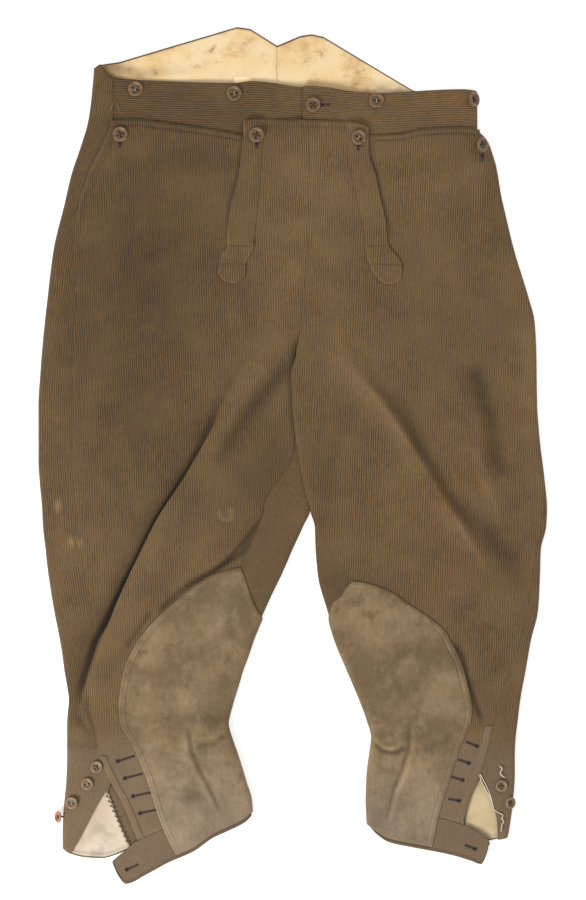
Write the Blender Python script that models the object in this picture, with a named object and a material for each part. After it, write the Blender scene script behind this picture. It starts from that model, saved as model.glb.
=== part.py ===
"""Fall-front cord knee breeches laid flat on their back, the front up.

Metres, +Z up, +Y towards the waist. The wearer's right half is on the -X side.
Each half is one flattened tube of cloth. A point of its skin is named by a loop
coordinate and a height: 0 to 1 runs over the top from the inner edge to the outer
edge, 1 to 2 round the outer roll, 2 to 3 back along the underside and 3 to 4 up
round the inner roll (so -1 to 0 is that roll too). Every piece of cloth is a grid
of skin points with its wall turned inwards, and a piece that lies on another is
made from the same points, moved out.
"""

import math

import bmesh
import bpy
import numpy as np
from mathutils import Matrix, Vector

MM = 0.001

# Walls of the cloths, and the gaps between pieces.
CORD = 1.8 * MM
BAND = 2.0 * MM
SUEDE = 1.4 * MM
COTTON = 1.0 * MM
SEAM = 0.3 * MM
ROLL_SEAM = 1.0 * MM
LAY_ON = 0.7 * MM
PATCH_OUT = 1.1 * MM + SUEDE

# The two sheets of a half lying on each other, and the width of their side rolls.
LAY = 7.2 * MM
ROLL = 5.0 * MM
CROTCH = 117 * MM
CROTCH_CLOSES = 22 * MM
LEG_GAP = -60 * MM

# Where the two halves meet, in millimetres: height, centre front, centre back. The two
# run together from the crotch to the gap between the legs.
CENTRE = ("y", "front_in", "back_in")
CENTRE_LINE = (
    (480, 18, -18), (434, 18, -17), (375, 18, -13), (314, 18, -9), (230, 16, -3),
    (174, 11, 1), (117, 5, 5), (90, -1, -1), (56, 0, 0), (16, 4, 4), (-25, 11, 11),
    (-60, 19, 19),
)

# Sections of each half, in millimetres: height, outer edge, inner edge of the leg,
# outside seam in from the outer edge (of the front, then of the back), inside seam in
# from the inner edge.
SECTION = ("y", "outer", "inner", "front_seam", "back_seam", "inseam")
RIGHT_SECTIONS = (
    (480, -223, 19, 22, 22, 0),
    (434, -223, 19, 22, 22, 0),
    (407, -225, 19, 24, 24, 0),
    (375, -229, 19, 27, 27, 0),
    (347, -237, 19, 24, 24, 0),
    (314, -248, 19, 19, 19, 0),
    (280, -256, 19, 16, 16, 0),
    (230, -268, 19, 23, 23, 0),
    (174, -275, 19, 33, 33, 0),
    (117, -281, 19, 35, 35, 0),
    (90, -283, 19, 37, 37, 0),
    (56, -285, 19, 39, 39, 0),
    (43, -285, 19, 39, 39, 0),
    (18, -285, 19, 39, 39, 1.5),
    (-8, -285, 19, 39, 39, 5),
    (-25, -284, 19, 38, 38, 22),
    (-60, -281, 19, 39, 39, 48),
    (-80, -280, 11, 40, 40, 47),
    (-106, -277, -1, 41, 41, 62),
    (-125, -275, -9, 42, 42, 60),
    (-165, -269, -28, 43, 43, 30),
    (-207, -261, -46, 41, 41, 4),
    (-241, -256, -58, 32, 32, 0),
    (-274, -251, -68, 20, 20, 0),
    (-299, -253, -74, 29, 29, 0),
    (-319, -253, -69, 32, 32, 0),
    (-333, -253, -64, 35, 35, 0),
    (-365, -254, -54, 50, 50, 0),
    (-386, -256, -48, 64, 38, 0),
    (-420, -258, -46, 80, 19, 0),
    (-440, -258, -46, 87, 8, 0),
)
LEFT_SECTIONS = (
    (480, 205, 19, 0, 0, 0),
    (407, 205, 19, 0, 0, 0),
    (375, 206, 19, 0, 0, 0),
    (362, 206, 19, 0, 0, 0),
    (353, 214, 19, 0, 0, 0),
    (335, 221, 19, 0, 0, 0),
    (314, 227, 19, 0, 0, 0),
    (280, 235, 19, 0, 0, 0),
    (230, 247, 19, 0, 0, 0),
    (174, 264, 19, 0, 0, 0),
    (150, 270, 19, 0, 0, 0),
    (117, 272, 19, 0, 0, 0),
    (90, 272, 19, 0, 0, 0),
    (56, 273, 19, 0, 0, 0),
    (16, 276, 19, 0, 0, 0),
    (-25, 281, 19, 0, 0, 0),
    (-60, 284, 19, 4, 4, 0),
    (-80, 283, 24, 5, 5, 4),
    (-106, 277, 25, 6, 6, 16),
    (-137, 276, 28, 9, 9, 33),
    (-173, 274, 38, 12, 12, 24),
    (-207, 266, 48, 14, 14, 4),
    (-241, 260, 62, 19, 19, 0),
    (-274, 254, 76, 25, 25, 0),
    (-299, 251, 85, 27, 27, 0),
    (-315, 249, 89, 28, 28, 0),
    (-333, 248, 87, 32, 32, 0),
    (-357, 248, 84, 39, 39, 0),
    (-386, 246, 83, 49, 25, 0),
    (-410, 243, 84, 52, 16, 0),
    (-440, 238, 88, 52, 10, 0),
)

# Largest folds and dips of the top sheet, in millimetres: height up the garment,
# place of the crest, its rise, and how far it spreads outwards and inwards.
FOLD = ("y", "x", "rise", "spread_out", "spread_in")
RIGHT_FOLDS = (
    (  # The deep fold from the crotch to the outside of the knee.
        (107, -5, 0, 30, 40),
        (56, -80, 2.5, 22, 50),
        (26, -92, 4, 18, 50),
        (-20, -115, 6, 15, 45),
        (-71, -147, 7, 14, 45),
        (-117, -170, 7, 14, 42),
        (-207, -216, 7, 13, 34),
        (-258, -232, 5, 12, 26),
        (-285, -239, 0, 12, 24),
    ),
)
LEFT_FOLDS = (
    (  # The ridge from the crotch out over the thigh.
        (145, 42, 0, 24, 24),
        (127, 54, 2, 22, 22),
        (76, 82, 4.5, 20, 20),
        (30, 121, 5, 20, 20),
        (0, 138, 5, 20, 20),
        (-28, 156, 5, 20, 20),
        (-84, 187, 4, 20, 20),
        (-125, 214, 0, 22, 22),
    ),
    (  # The dip beside that ridge.
        (110, 90, 0, 20, 20),
        (76, 112, -2, 20, 20),
        (22, 152, -2, 20, 20),
        (-30, 186, -1.8, 20, 20),
        (-80, 220, 0, 20, 20),
    ),
)

# Edges that aren't level, in millimetres from -X to +X.
FISHTAIL = (
    (-230, 430), (-215, 437), (-194, 440), (-80, 474), (-63, 479), (-48, 477),
    (-18, 458), (8, 469), (21, 471), (34, 468), (134, 408), (165, 404), (215, 401),
)
# Where the back comes over to the front at the right end of the waist.
RIGHT_CORNER = ((-224, 430), (-220, 434), (-215, 437), (-211, 431), (-206, 425), (-200, 422))
RIGHT_FRONT_TOP = ((-230, 374), (-178, 375), (-140, 371), (-104, 366), (-58, 358))
LEFT_FRONT_TOP = ((85, 357), (121, 359), (143, 364), (182, 366), (206, 364), (222, 356))
FALL_TOP = ((-54, 374), (-46, 375), (17, 374), (61, 372), (84, 367))
RIGHT_BAND_TOP = ((-201, 422), (-185, 420), (-66, 416), (-47, 418), (12, 411), (42, 409))
LEFT_BAND_TOP = ((10, 411), (37, 411), (61, 407), (92, 405), (190, 409), (206, 407))
BAND_LOWER = 347 * MM
RIGHT_KNEE_BAND_TOP = ((-202, -453), (-189, -443), (-175, -431), (-46, -386))
RIGHT_HEM = (
    (-202, -456), (-195, -471), (-187, -479), (-163, -468), (-139, -455),
    (-112, -443), (-89, -427), (-76, -421), (-54, -410), (-46, -403),
)
LEFT_KNEE_BAND_TOP = ((84, -386), (191, -413), (216, -427), (219, -431))
LEFT_HEM = (
    (84, -413), (93, -423), (107, -432), (129, -437), (150, -441), (178, -447),
    (198, -453), (210, -457), (216, -446), (219, -434),
)
RIGHT_UNDER_HEM = ((-259, -439), (-251, -445), (-232, -450), (-214, -451), (-180, -440), (-46, -403))
LEFT_UNDER_HEM = ((84, -412), (154, -428), (200, -434), (219, -431), (237, -428), (245, -423))

# The slit at each side of the fall, hidden by its strip, then on down the panel.
RIGHT_SLIT = ((375, -46), (345, -47), (312, -50), (278, -55), (240, -60))
LEFT_SLIT = ((375, 73), (345, 73), (312, 80), (278, 87), (240, 93))
SLIT_END = 240 * MM

# Rows of the panels: height in millimetres, rows down to the next one.
PANEL_LEVELS = ((330, 3), (240, 4), (117, 2), (95, 6), (-60, 9), (-300, 2), (-357, 3))

# Fall strips, in millimetres: height, outer edge, inner edge.
STRIP = ("y", "outer", "inner")
RIGHT_STRIP = (
    (373, -55, -31), (346, -57, -34), (313, -61, -36), (278, -70, -39), (246, -74, -43),
    (234, -74, -44), (224, -81, -48), (214, -83, -53), (204, -84, -53), (196, -79, -58),
    (192, -71, -64),
)
LEFT_STRIP = (
    (368, 84, 58), (336, 85, 60), (314, 92, 64), (291, 97, 69), (258, 104, 77),
    (236, 106, 81), (222, 116, 82), (214, 121, 85), (206, 122, 88), (196, 120, 96),
    (191, 111, 102),
)

# Knee patches, in millimetres: height, front edge, and how far the back edge lies in
# from the inner edge of the leg (below 0 it has gone round, under the leg).
PATCH = ("y", "front", "back")
RIGHT_PATCH = (
    (-125, -62, 46), (-134, -91, 40), (-144, -108, 34), (-156, -120, 20), (-169, -137, 5),
    (-184, -155, 0), (-199, -167, -5), (-208, -174, -12), (-244, -190, -26), (-283, -195, -34),
    (-300, -193, -36), (-323, -180, -36), (-353, -167, -36), (-399, -149, -36),
    (-440, -131, -36),
)
LEFT_PATCH = (
    (-141, 72, 38), (-147, 96, 30), (-156, 115, 22), (-166, 128, 8), (-171, 136, 5),
    (-184, 155, 0), (-198, 171, -5), (-208, 176, -12), (-232, 188, -24), (-266, 197, -34),
    (-283, 200, -36), (-294, 199, -36),
    (-326, 187, -36), (-356, 177, -36), (-398, 163, -36), (-435, 155, -36),
)

# Knee linings: rows across, each from its edge beside the placket to its far edge.
KNEE_LINING = ("y", "near", "far")
RIGHT_KNEE_LINING = (
    (-352, -216, -240), (-376, -207, -246), (-400, -198, -249), (-440, -182, -250),
)
LEFT_KNEE_LINING = ((-352, 205, 236), (-376, 200, 236), (-400, 193, 234), (-430, 190, 230))

# Buttons: place in millimetres, how far the face tips over and which way, in degrees,
# and 1 where the button sits on a fall strip.
BUTTON = ("x", "y", "tip", "towards", "on_strip")
ROUND_EDGE = 20  # past this tip a button follows the cloth round the left outer edge
HANGING = 50  # past this tip a button hangs off the edge, down to the table
WAIST_BUTTONS = (
    (-176, 409, 0, 0, 0), (-66, 404, 0, 0, 0), (22, 391, 0, 0, 0), (93, 396, 0, 0, 0),
    (201, 397, 44, 0, 0), (-193, 358, 0, 0, 0), (-41, 357, 0, 0, 1), (73, 354, 0, 0, 1),
    (210, 346, 40, 0, 0),
)
KNEE_BUTTONS = (
    (-219.5, -348, 0, 0, 0), (-230, -367, 0, 0, 0), (-247, -388, 8, 180, 0),
    (-261.5, -404, 55, 180, 0), (232.5, -369, 0, 0, 0), (242, -388, 30, 0, 0),
)
WAIST_BUTTON_R = 8.5 * MM
KNEE_BUTTON_R = 6.7 * MM
BUTTON_THICK = 2.6 * MM
BUTTON_SIDES = 14

COLOURS = {
    "cord": ((0.16, 0.105, 0.055, 1), 0.9),
    "suede": ((0.25, 0.17, 0.095, 1), 0.85),
    "cotton": ((0.80, 0.60, 0.34, 1), 0.9),
    "button": ((0.20, 0.11, 0.05, 1), 0.45),
}


def column(table, names, name):
    """One named column of a table, in metres."""
    return np.array([row[names.index(name)] for row in table], float) * MM


def line(points, x):
    """Height of an edge of the cloth at x, straight between its points."""
    px, py = np.array(points, float).T * MM
    order = np.argsort(px)
    return np.interp(x, px[order], py[order])


def smooth(t):
    """0 below t = 0, 1 above t = 1, with no corner between."""
    t = np.clip(t, 0, 1)
    return t * t * (3 - 2 * t)


def along(table, names, name, y):
    """A column read at any height, straight between the rows."""
    return np.interp(-y, -column(table, names, "y"), column(table, names, name))


class Half:
    """One half of the breeches: its sections, folds, and the side it lies on."""

    def __init__(self, sections, folds, side):
        self.sections = sections
        self.folds = folds
        self.side = side

    def at(self, name, y):
        return along(self.sections, SECTION, name, y)

    def inner(self, y, name="front_in"):
        """The inner edge: the centre line down to the gap between the legs, then the leg's."""
        return np.where(y >= LEG_GAP, along(CENTRE_LINE, CENTRE, name, y), self.at("inner", y))

    def inner_roll(self, y):
        """Width of the inner roll: none down to the crotch, then the full roll."""
        return ROLL * smooth((CROTCH - y) / CROTCH_CLOSES)

    def edges(self, y, inner="front_in"):
        """Where the rolls begin: the ends of the flat stretch of a section."""
        closing = self.side * (self.inner_roll(y) + SEAM / 2)
        return self.inner(y, inner) + closing, self.at("outer", y) - self.side * ROLL

    def height(self, x, y):
        """Outer height of the top sheet: the lay, its folds, and the lap at the crotch."""
        z = LAY + self.base(x, y)
        for fold in self.folds:
            crest = along(fold, FOLD, "x", y)
            rise = along(fold, FOLD, "rise", y)
            out = self.side * (x - crest)
            spread = np.where(
                out > 0,
                along(fold, FOLD, "spread_out", y),
                along(fold, FOLD, "spread_in", y),
            )
            z = z + rise * np.exp(-((out / spread) ** 2))
        if self.side > 0:
            in_lap = smooth((CROTCH - y) / (40 * MM)) * smooth((y - LEG_GAP) / (40 * MM))
            inside = (x - self.inner(y)) / (30 * MM)
            z = z + 2.5 * MM * in_lap * np.exp(-(inside**2))
        return z

    def base(self, x, y):
        """Height of the underside: raised a little where a patch is turned under."""
        from_inner = self.side * (x - self.inner(y))
        near = 1 - smooth((from_inner - 38 * MM) / (60 * MM))
        return PATCH_OUT * near * smooth((-110 * MM - y) / (66 * MM))

    def skin(self, loop, y, lift):
        """Points of the outer surface at a loop coordinate and height, moved out by lift."""
        loop, y, lift = np.broadcast_arrays(loop, y, lift)
        inner, outer = self.edges(y)
        back_inner = self.edges(y, "back_in")[0]
        side = self.side
        loop = np.where(loop > 3, loop - 4, loop)
        on_top = inner + (outer - inner) * np.clip(loop, 0, 1)
        low_out = outer + (back_inner - outer) * np.clip(loop - 2, 0, 1)
        low_in = inner + (outer - inner) * np.clip(-1 - loop, 0, 1)
        x = np.where(loop < -1, low_in, np.where(loop > 2, low_out, on_top))
        top = self.height(on_top, y)
        floor = self.base(x, y)
        middle = (top + floor) / 2
        half = (top - floor) / 2
        turn = np.where(loop < 0, -loop, loop - 1) * math.pi
        rolling = ((loop < 0) & (loop >= -1)) | ((loop > 1) & (loop <= 2))
        width = np.where(loop < 0, self.inner_roll(y), ROLL)
        way = np.where(loop < 0, -side, side)
        x = x + np.where(rolling, way * (width + lift) * np.sin(turn), 0)
        z = np.where(
            rolling,
            middle + (half + lift) * np.cos(turn),
            np.where((loop < -1) | (loop > 2), floor - lift, top + lift),
        )
        return np.stack([x, y, z], axis=-1)

    def from_inner(self, distance, y):
        """Loop coordinate of a place this far in from the inner edge, over the top."""
        roll = np.maximum(self.inner_roll(y), 1e-6)
        inner, outer = self.edges(y)
        flat = np.abs(outer - inner)
        onto = (np.abs(distance) - roll) / flat
        return np.where(
            distance >= roll,
            onto,
            np.where(distance <= -roll, -1 - onto, (distance / roll - 1) / 2),
        )

    def from_outer(self, distance, y):
        """Loop coordinate of a place this far in from the outer edge, over the top."""
        inner, outer = self.edges(y)
        onto = (np.abs(distance) - ROLL) / np.abs(outer - inner)
        return np.where(
            distance >= ROLL,
            1 - onto,
            np.where(distance <= -ROLL, 2 + onto, 1.5 - distance / ROLL / 2),
        )

    def of_x(self, x, y):
        """Loop coordinate of a place on the top sheet."""
        return self.from_inner(self.side * (x - self.inner(y)), y)


RIGHT = Half(RIGHT_SECTIONS, RIGHT_FOLDS, -1)
LEFT = Half(LEFT_SECTIONS, LEFT_FOLDS, 1)


def over_band(x, y):
    """How far the fronts are lifted where the waistband lies under their tops."""
    return (BAND + LAY_ON + lap(x)) * smooth((y - 285 * MM) / (45 * MM))


def lap(x):
    """Extra height where the left waistband laps over the right one."""
    rise = smooth((x + 22 * MM) / (20 * MM)) * (1 - smooth((x - 48 * MM) / (30 * MM)))
    return (BAND + SEAM) * rise


def material(name):
    """One plain material for each cloth, and one for the buttons."""
    found = bpy.data.materials.get(name)
    if found:
        return found
    made = bpy.data.materials.new(name)
    made.use_nodes = True
    shader = made.node_tree.nodes["Principled BSDF"]
    colour, roughness = COLOURS[name]
    shader.inputs["Base Color"].default_value = colour
    shader.inputs["Roughness"].default_value = roughness
    shader.inputs["Metallic"].default_value = 0
    made.diffuse_color = colour
    return made


def cloth(name, points, side, wall, finish, slit=None):
    """A grid of points (rows down, columns outwards) made a wall of cloth.

    slit = (column, last row) parts the grid down that column, from its first row.
    """
    rows, columns = points.shape[:2]
    index = np.arange(rows * columns).reshape(rows, columns)
    beyond = index.copy()
    coordinates = points.reshape(-1, 3)
    if slit:
        at, last = slit
        opening = np.zeros((last, 3))
        opening[:, 0] = side * 0.8 * MM
        copies = points[:last, at] + opening
        coordinates = np.concatenate([coordinates, copies])
        beyond[:last, at] = rows * columns + np.arange(last)
    faces = []
    for j in range(rows - 1):
        for i in range(columns - 1):
            near = beyond if slit and i == slit[0] else index
            quad = (near[j, i], near[j + 1, i], index[j + 1, i + 1], index[j, i + 1])
            faces.append(tuple(int(v) for v in (quad if side > 0 else quad[::-1])))
    mesh = bpy.data.meshes.new(name)
    mesh.from_pydata(coordinates.tolist(), [], faces)
    mesh.materials.append(material(finish))
    mesh.shade_smooth()
    thing = bpy.data.objects.new(name, mesh)
    bpy.context.scene.collection.objects.link(thing)
    shell = thing.modifiers.new("wall", "SOLIDIFY")
    shell.thickness = wall
    shell.offset = -1
    shell.use_even_offset = True
    return thing


def levels(*stops):
    """Heights from stop to stop: (height, number of rows down to the next one)."""
    found = []
    for (start, count), (end, _) in zip(stops, stops[1:]):
        found += list(np.linspace(start, end, count, endpoint=False))
    return np.array(found + [stops[-1][0]]) * MM


def apart(distance):
    """Half the gap at a seam: wider on a roll, where flat facets turn the two walls."""
    return np.where(np.abs(distance) < 2 * ROLL, ROLL_SEAM, SEAM) / 2


def shares(count):
    """Shares of a width from 0 to 1, with a narrow step at each end to square its seam."""
    return np.concatenate([[0, 0.01], np.linspace(0, 1, count)[1:-1], [0.99, 1]])[None, :]


def bent(half, loop, level, top, hem, fade):
    """Heights of grid points, bent so that the first and last rows follow top and hem.

    The bend fades out over fade = (below the top, above the hem).
    """
    height = level
    for _ in range(2):
        x = half.skin(loop(height), height, 0)[..., 0]
        up = smooth((level - (level[0] - fade[0])) / fade[0])
        down = smooth((level[-1] + fade[1] - level) / fade[1])
        height = level + (top(x) - level[0]) * up + (hem(x) - level[-1]) * down
    return height


def make_back(name, half, under_hem):
    """Back: from the outside seam round the outer edge, under, to the centre back."""
    level = levels((432, 4), *PANEL_LEVELS, (-438, 0))[:, None]
    share = shares(13)

    def loop(y):
        outseam = half.at("back_seam", y)
        start = half.from_outer(outseam - apart(outseam), y)
        closed = smooth((CROTCH - y) / CROTCH_CLOSES)
        inseam = half.at("inseam", y)
        low = 4 + half.from_inner(inseam - apart(inseam), y)
        end = np.where(closed < 1, 3 + closed / 2, low)
        return start + (end - start) * share

    def top(x):
        over = (loop(level[:1]) < 1.4) & (half.side < 0)
        return np.where(over, line(RIGHT_CORNER, x), line(FISHTAIL, x))

    def hem(x):
        return line(under_hem, x)

    y = bent(half, loop, level, top, hem, (110 * MM, 70 * MM))
    cloth(name, half.skin(loop(y), y, 0), half.side, CORD, "cord")


def make_front(name, half, side_top, slit_line, knee_band_top):
    """Front: from the centre front to the outside seam, slit beside the fall."""
    level = levels((372, 2), *PANEL_LEVELS, (-420, 0))[:, None]
    fall_columns, side_columns = 4, 8
    slit_x, slit_y = np.array([row[::-1] for row in slit_line], float).T * MM

    def loop(y):
        closed = smooth((CROTCH - y) / CROTCH_CLOSES)
        inseam = half.at("inseam", y)
        near = half.from_inner(inseam + apart(inseam), y)
        start = np.where(closed < 1, -closed / 2, near)
        outseam = half.at("front_seam", y)
        end = half.from_outer(outseam + apart(outseam), y)
        slit = half.of_x(np.interp(-y, -slit_y, slit_x), y)
        low = half.of_x(slit_x[-1], SLIT_END)
        share = low / half.from_outer(half.at("front_seam", SLIT_END), SLIT_END)
        at = np.where(y > SLIT_END, slit, start + (end - start) * share)
        inner = start + (at - start) * shares(fall_columns)[:, :-1]
        outer = at + (end - at) * shares(side_columns)[:, 1:]
        return np.concatenate([inner, outer], axis=1)

    def loop_of(y):
        """The grid's coordinates, where y may already differ from column to column."""
        if y.shape[1] == 1:
            return loop(y)
        columns = [loop(y[:, i : i + 1])[:, i] for i in range(y.shape[1])]
        return np.stack(columns, axis=1)

    def top(x):
        fall = np.arange(x.shape[1])[None, :] <= fall_columns
        return np.where(fall, line(FALL_TOP, x), line(side_top, x))

    def hem(x):
        return line(knee_band_top, x) + 1.5 * SEAM

    y = bent(half, loop_of, level, top, hem, (60 * MM, 70 * MM))
    across = loop_of(y)
    x = half.skin(across, y, 0)[..., 0]
    last = int((level > SLIT_END + MM).sum())
    cloth(name, half.skin(across, y, over_band(x, y)), half.side, CORD, "cord", (fall_columns, last))


def make_waistbands():
    """Front waistbands: the left one starts on the right one and ends on the outer roll."""
    share = np.linspace(0, 1, 4)[:, None]

    x = np.linspace(-200.7, 42, 13)[None, :] * MM
    top = line(RIGHT_BAND_TOP, x)
    y = top + (BAND_LOWER - top) * share
    points = np.stack(np.broadcast_arrays(x, y, LAY + 0 * y), axis=-1)[:, ::-1]
    cloth("waistband_right", points, -1, BAND, "cord")

    edge = 205.5 * MM
    flat = np.linspace(10, 200, 12) * MM
    turn = np.radians((30, 60, 82, 84))
    x = np.concatenate([flat, edge - ROLL + ROLL * np.sin(turn)])[None, :]
    z = np.concatenate([LAY + lap(flat), LAY / 2 + LAY / 2 * np.cos(turn)])[None, :]
    top = line(LEFT_BAND_TOP, x)
    y = top + (BAND_LOWER - top) * share
    points = np.stack(np.broadcast_arrays(x, y, z), axis=-1)
    cloth("waistband_left", points, 1, BAND, "cord")


def make_waist_lining(name, side, start, end):
    """Back waist lining: on the inside of the raised back, down behind the waistband."""
    x = np.linspace(start, end, 11)[None, :] * MM
    top = line(FISHTAIL, x) - 2 * MM
    low = np.minimum(392 * MM, top - 4 * MM)
    y = top + (low - top) * np.linspace(0, 1, 4)[:, None]
    z = CORD + SEAM + COTTON + 0 * y
    cloth(name, np.stack(np.broadcast_arrays(x, y, z), axis=-1), side, COTTON, "cotton")


def make_strip(name, half, table):
    """Fall strip: over the slit and down past its end, to a round tab."""
    listed = column(table, STRIP, "y")
    rows = levels((372, 2), (330, 4), (240, 0))
    y = np.concatenate([rows, listed[listed < SLIT_END - 2 * MM]])[:, None]
    inner = along(table, STRIP, "inner", y)
    outer = along(table, STRIP, "outer", y)
    x = inner + (outer - inner) * np.linspace(0, 1, 5)[None, :]
    y = y + 0 * x
    y[0] = line(FALL_TOP, x[0]) - 0.5 * MM
    lift = over_band(x, y) + LAY_ON + CORD
    cloth(name, half.skin(half.of_x(x, y), y, lift), half.side, CORD, "cord")


def make_patch(name, half, table, band_hem):
    """Knee patch: from its front edge over the inside of the knee and a little under."""
    listed = column(table, PATCH, "y")
    y = np.concatenate([
        np.linspace(listed[0], -210 * MM, 13, endpoint=False),
        levels((-210, 3), *PANEL_LEVELS[5:], (listed[-1] / MM, 0)),
    ])[:, None]
    front = half.of_x(along(table, PATCH, "front", y), y)
    back = half.from_inner(along(table, PATCH, "back", y), y)
    loop = back + (front - back) * np.linspace(0, 1, 10)[None, :]
    x = half.skin(loop, y, 0)[..., 0]
    hem = line(band_hem, x) + 5 * MM
    down = smooth((y[-1] + 90 * MM - y) / (90 * MM))
    y = y + (hem - y[-1]) * down
    cloth(name, half.skin(loop, y, PATCH_OUT), half.side, SUEDE, "suede")


def make_knee_band(name, half, band_top, hem):
    """Knee band: from its tab along the hem to the middle of the inner roll."""
    tab = hem[0][0] * MM if half.side < 0 else hem[-1][0] * MM
    share = np.linspace(0, 1, 4)[:, None]
    y = np.full((4, 1), (band_top[-1] if half.side < 0 else band_top[0])[1] * MM)
    for _ in range(3):
        start = half.from_inner(ROLL_SEAM / 2, y)
        loop = start + (half.of_x(tab, y) - start) * shares(12)
        x = half.skin(loop, y, 0)[..., 0]
        top = line(band_top, x)
        y = top + (line(hem, x) - top) * share
    cloth(name, half.skin(loop, y, 0), half.side, CORD, "cord")


def make_placket(name, half, start, end):
    """Placket: the narrow turned strip on the front edge of the knee opening."""
    y = np.linspace(start, end, 6)[:, None] * MM
    width = 8 * MM
    edge = half.at("front_seam", y) + SEAM
    distance = edge + width * np.linspace(1, 0, 3)[None, :]
    lift = LAY_ON + CORD
    cloth(name, half.skin(half.from_outer(distance, y), y, lift), half.side, CORD, "cord")


def make_knee_lining(name, half, table, under_hem):
    """Knee lining: on the inside of the back, seen through the knee opening."""
    rows = np.array(table, float) * MM
    y, near, far = (rows[:, [KNEE_LINING.index(column)]] for column in KNEE_LINING)
    x = near + (far - near) * np.linspace(0, 1, 6)[None, :]
    y = y + 0 * x
    y[-1] = line(under_hem, x[-1]) + 2 * MM
    z = CORD + SEAM + COTTON + 0 * y
    points = np.stack([x, y, z], axis=-1)
    cloth(name, points, half.side, COTTON, "cotton")


def ground(x, y):
    """Outer height of whatever a button at x, y is sewn to."""
    x, y = np.array([x]), np.array([y])
    half = RIGHT if x < RIGHT.inner(y) else LEFT
    if y > 380 * MM:
        return LAY + float(lap(x)[0])
    return float((half.height(x, y) + over_band(x, y))[0])


def seat(x, y, tilt, radius):
    """Height of a button tipped outwards over the rolled edge of the left half: the least
    at which every point along its underside clears the cloth, whose roll is an ellipse."""
    t = np.linspace(-radius, radius, 41)
    edge = float(LEFT.at("outer", y))
    round_edge = np.clip((x + t * math.cos(tilt) - edge + ROLL) / ROLL, 0, 1)
    cloth_top = ground(x, y) / 2 * (1 + np.sqrt(1 - round_edge**2))
    clear = cloth_top + LAY_ON + t * math.sin(tilt)
    return float(clear[round_edge < 1].max())


def button_mesh(name, radius):
    """Turned disc with a rounded rim, a dished face and four holes through it."""
    profile = (
        (0.0, 0.0), (0.80, 0.0), (1.0, 0.40), (0.92, 0.92), (0.78, 1.0), (0.62, 0.72),
        (0.0, 0.66),
    )
    built = bmesh.new()
    rings = []
    for share, height in profile:
        z = height * BUTTON_THICK
        if share == 0:
            rings.append([built.verts.new((0, 0, z))])
            continue
        turns = [2 * math.pi * k / BUTTON_SIDES for k in range(BUTTON_SIDES)]
        rings.append([
            built.verts.new((share * radius * math.cos(a), share * radius * math.sin(a), z))
            for a in turns
        ])
    for low, high in zip(rings, rings[1:]):
        for k in range(BUTTON_SIDES):
            after = (k + 1) % BUTTON_SIDES
            around = [low[k % len(low)], low[after % len(low)], high[after % len(high)],
                      high[k % len(high)]]
            built.faces.new(list(dict.fromkeys(around)))
    bmesh.ops.recalc_face_normals(built, faces=built.faces)
    mesh = bpy.data.meshes.new(name)
    built.to_mesh(mesh)
    built.free()
    mesh.materials.append(material("button"))
    mesh.shade_smooth()
    mesh.set_sharp_from_angle(angle=math.radians(40))
    return mesh


def hole_mesh(name, radius):
    """Four thin six-sided pins in a square, the cutter of the holes."""
    built = bmesh.new()
    spread = 0.24 * radius
    for dx in (-spread, spread):
        for dy in (-spread, spread):
            place = Matrix.Translation((dx, dy, BUTTON_THICK / 2))
            bmesh.ops.create_cone(
                built, cap_ends=True, segments=6, radius1=0.12 * radius,
                radius2=0.12 * radius, depth=2 * BUTTON_THICK, matrix=place,
            )
    mesh = bpy.data.meshes.new(name)
    built.to_mesh(mesh)
    built.free()
    return mesh


def make_buttons(prefix, table, radius):
    """Buttons of one size, each tipped the way it hangs on its thread."""
    disc = button_mesh(prefix, radius)
    pins = hole_mesh(prefix + "_holes", radius)
    for number, row in enumerate(table, 1):
        sewn = dict(zip(BUTTON, row))
        x, y = sewn["x"] * MM, sewn["y"] * MM
        tilt = math.radians(sewn["tip"])
        way = math.radians(sewn["towards"])
        rise = ground(x, y) + LAY_ON + sewn["on_strip"] * (LAY_ON + CORD)
        rise += radius * math.sin(tilt)
        if sewn["tip"] > HANGING:
            rise = LAY_ON + radius * math.sin(tilt)
        elif sewn["tip"] > ROUND_EDGE:
            rise = seat(x, y, tilt, radius)
        turn = Matrix.Rotation(way, 4, "Z") @ Matrix.Rotation(tilt, 4, "Y")
        whole = Matrix.Translation(Vector((x, y, rise))) @ turn
        button = bpy.data.objects.new(f"{prefix}_{number}", disc)
        cutter = bpy.data.objects.new(f"{prefix}_holes_{number}", pins)
        cutter.hide_render = True
        cutter.display_type = "WIRE"
        for thing in (button, cutter):
            thing.matrix_world = whole
            bpy.context.scene.collection.objects.link(thing)
        holes = button.modifiers.new("holes", "BOOLEAN")
        holes.operation = "DIFFERENCE"
        holes.object = cutter


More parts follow.
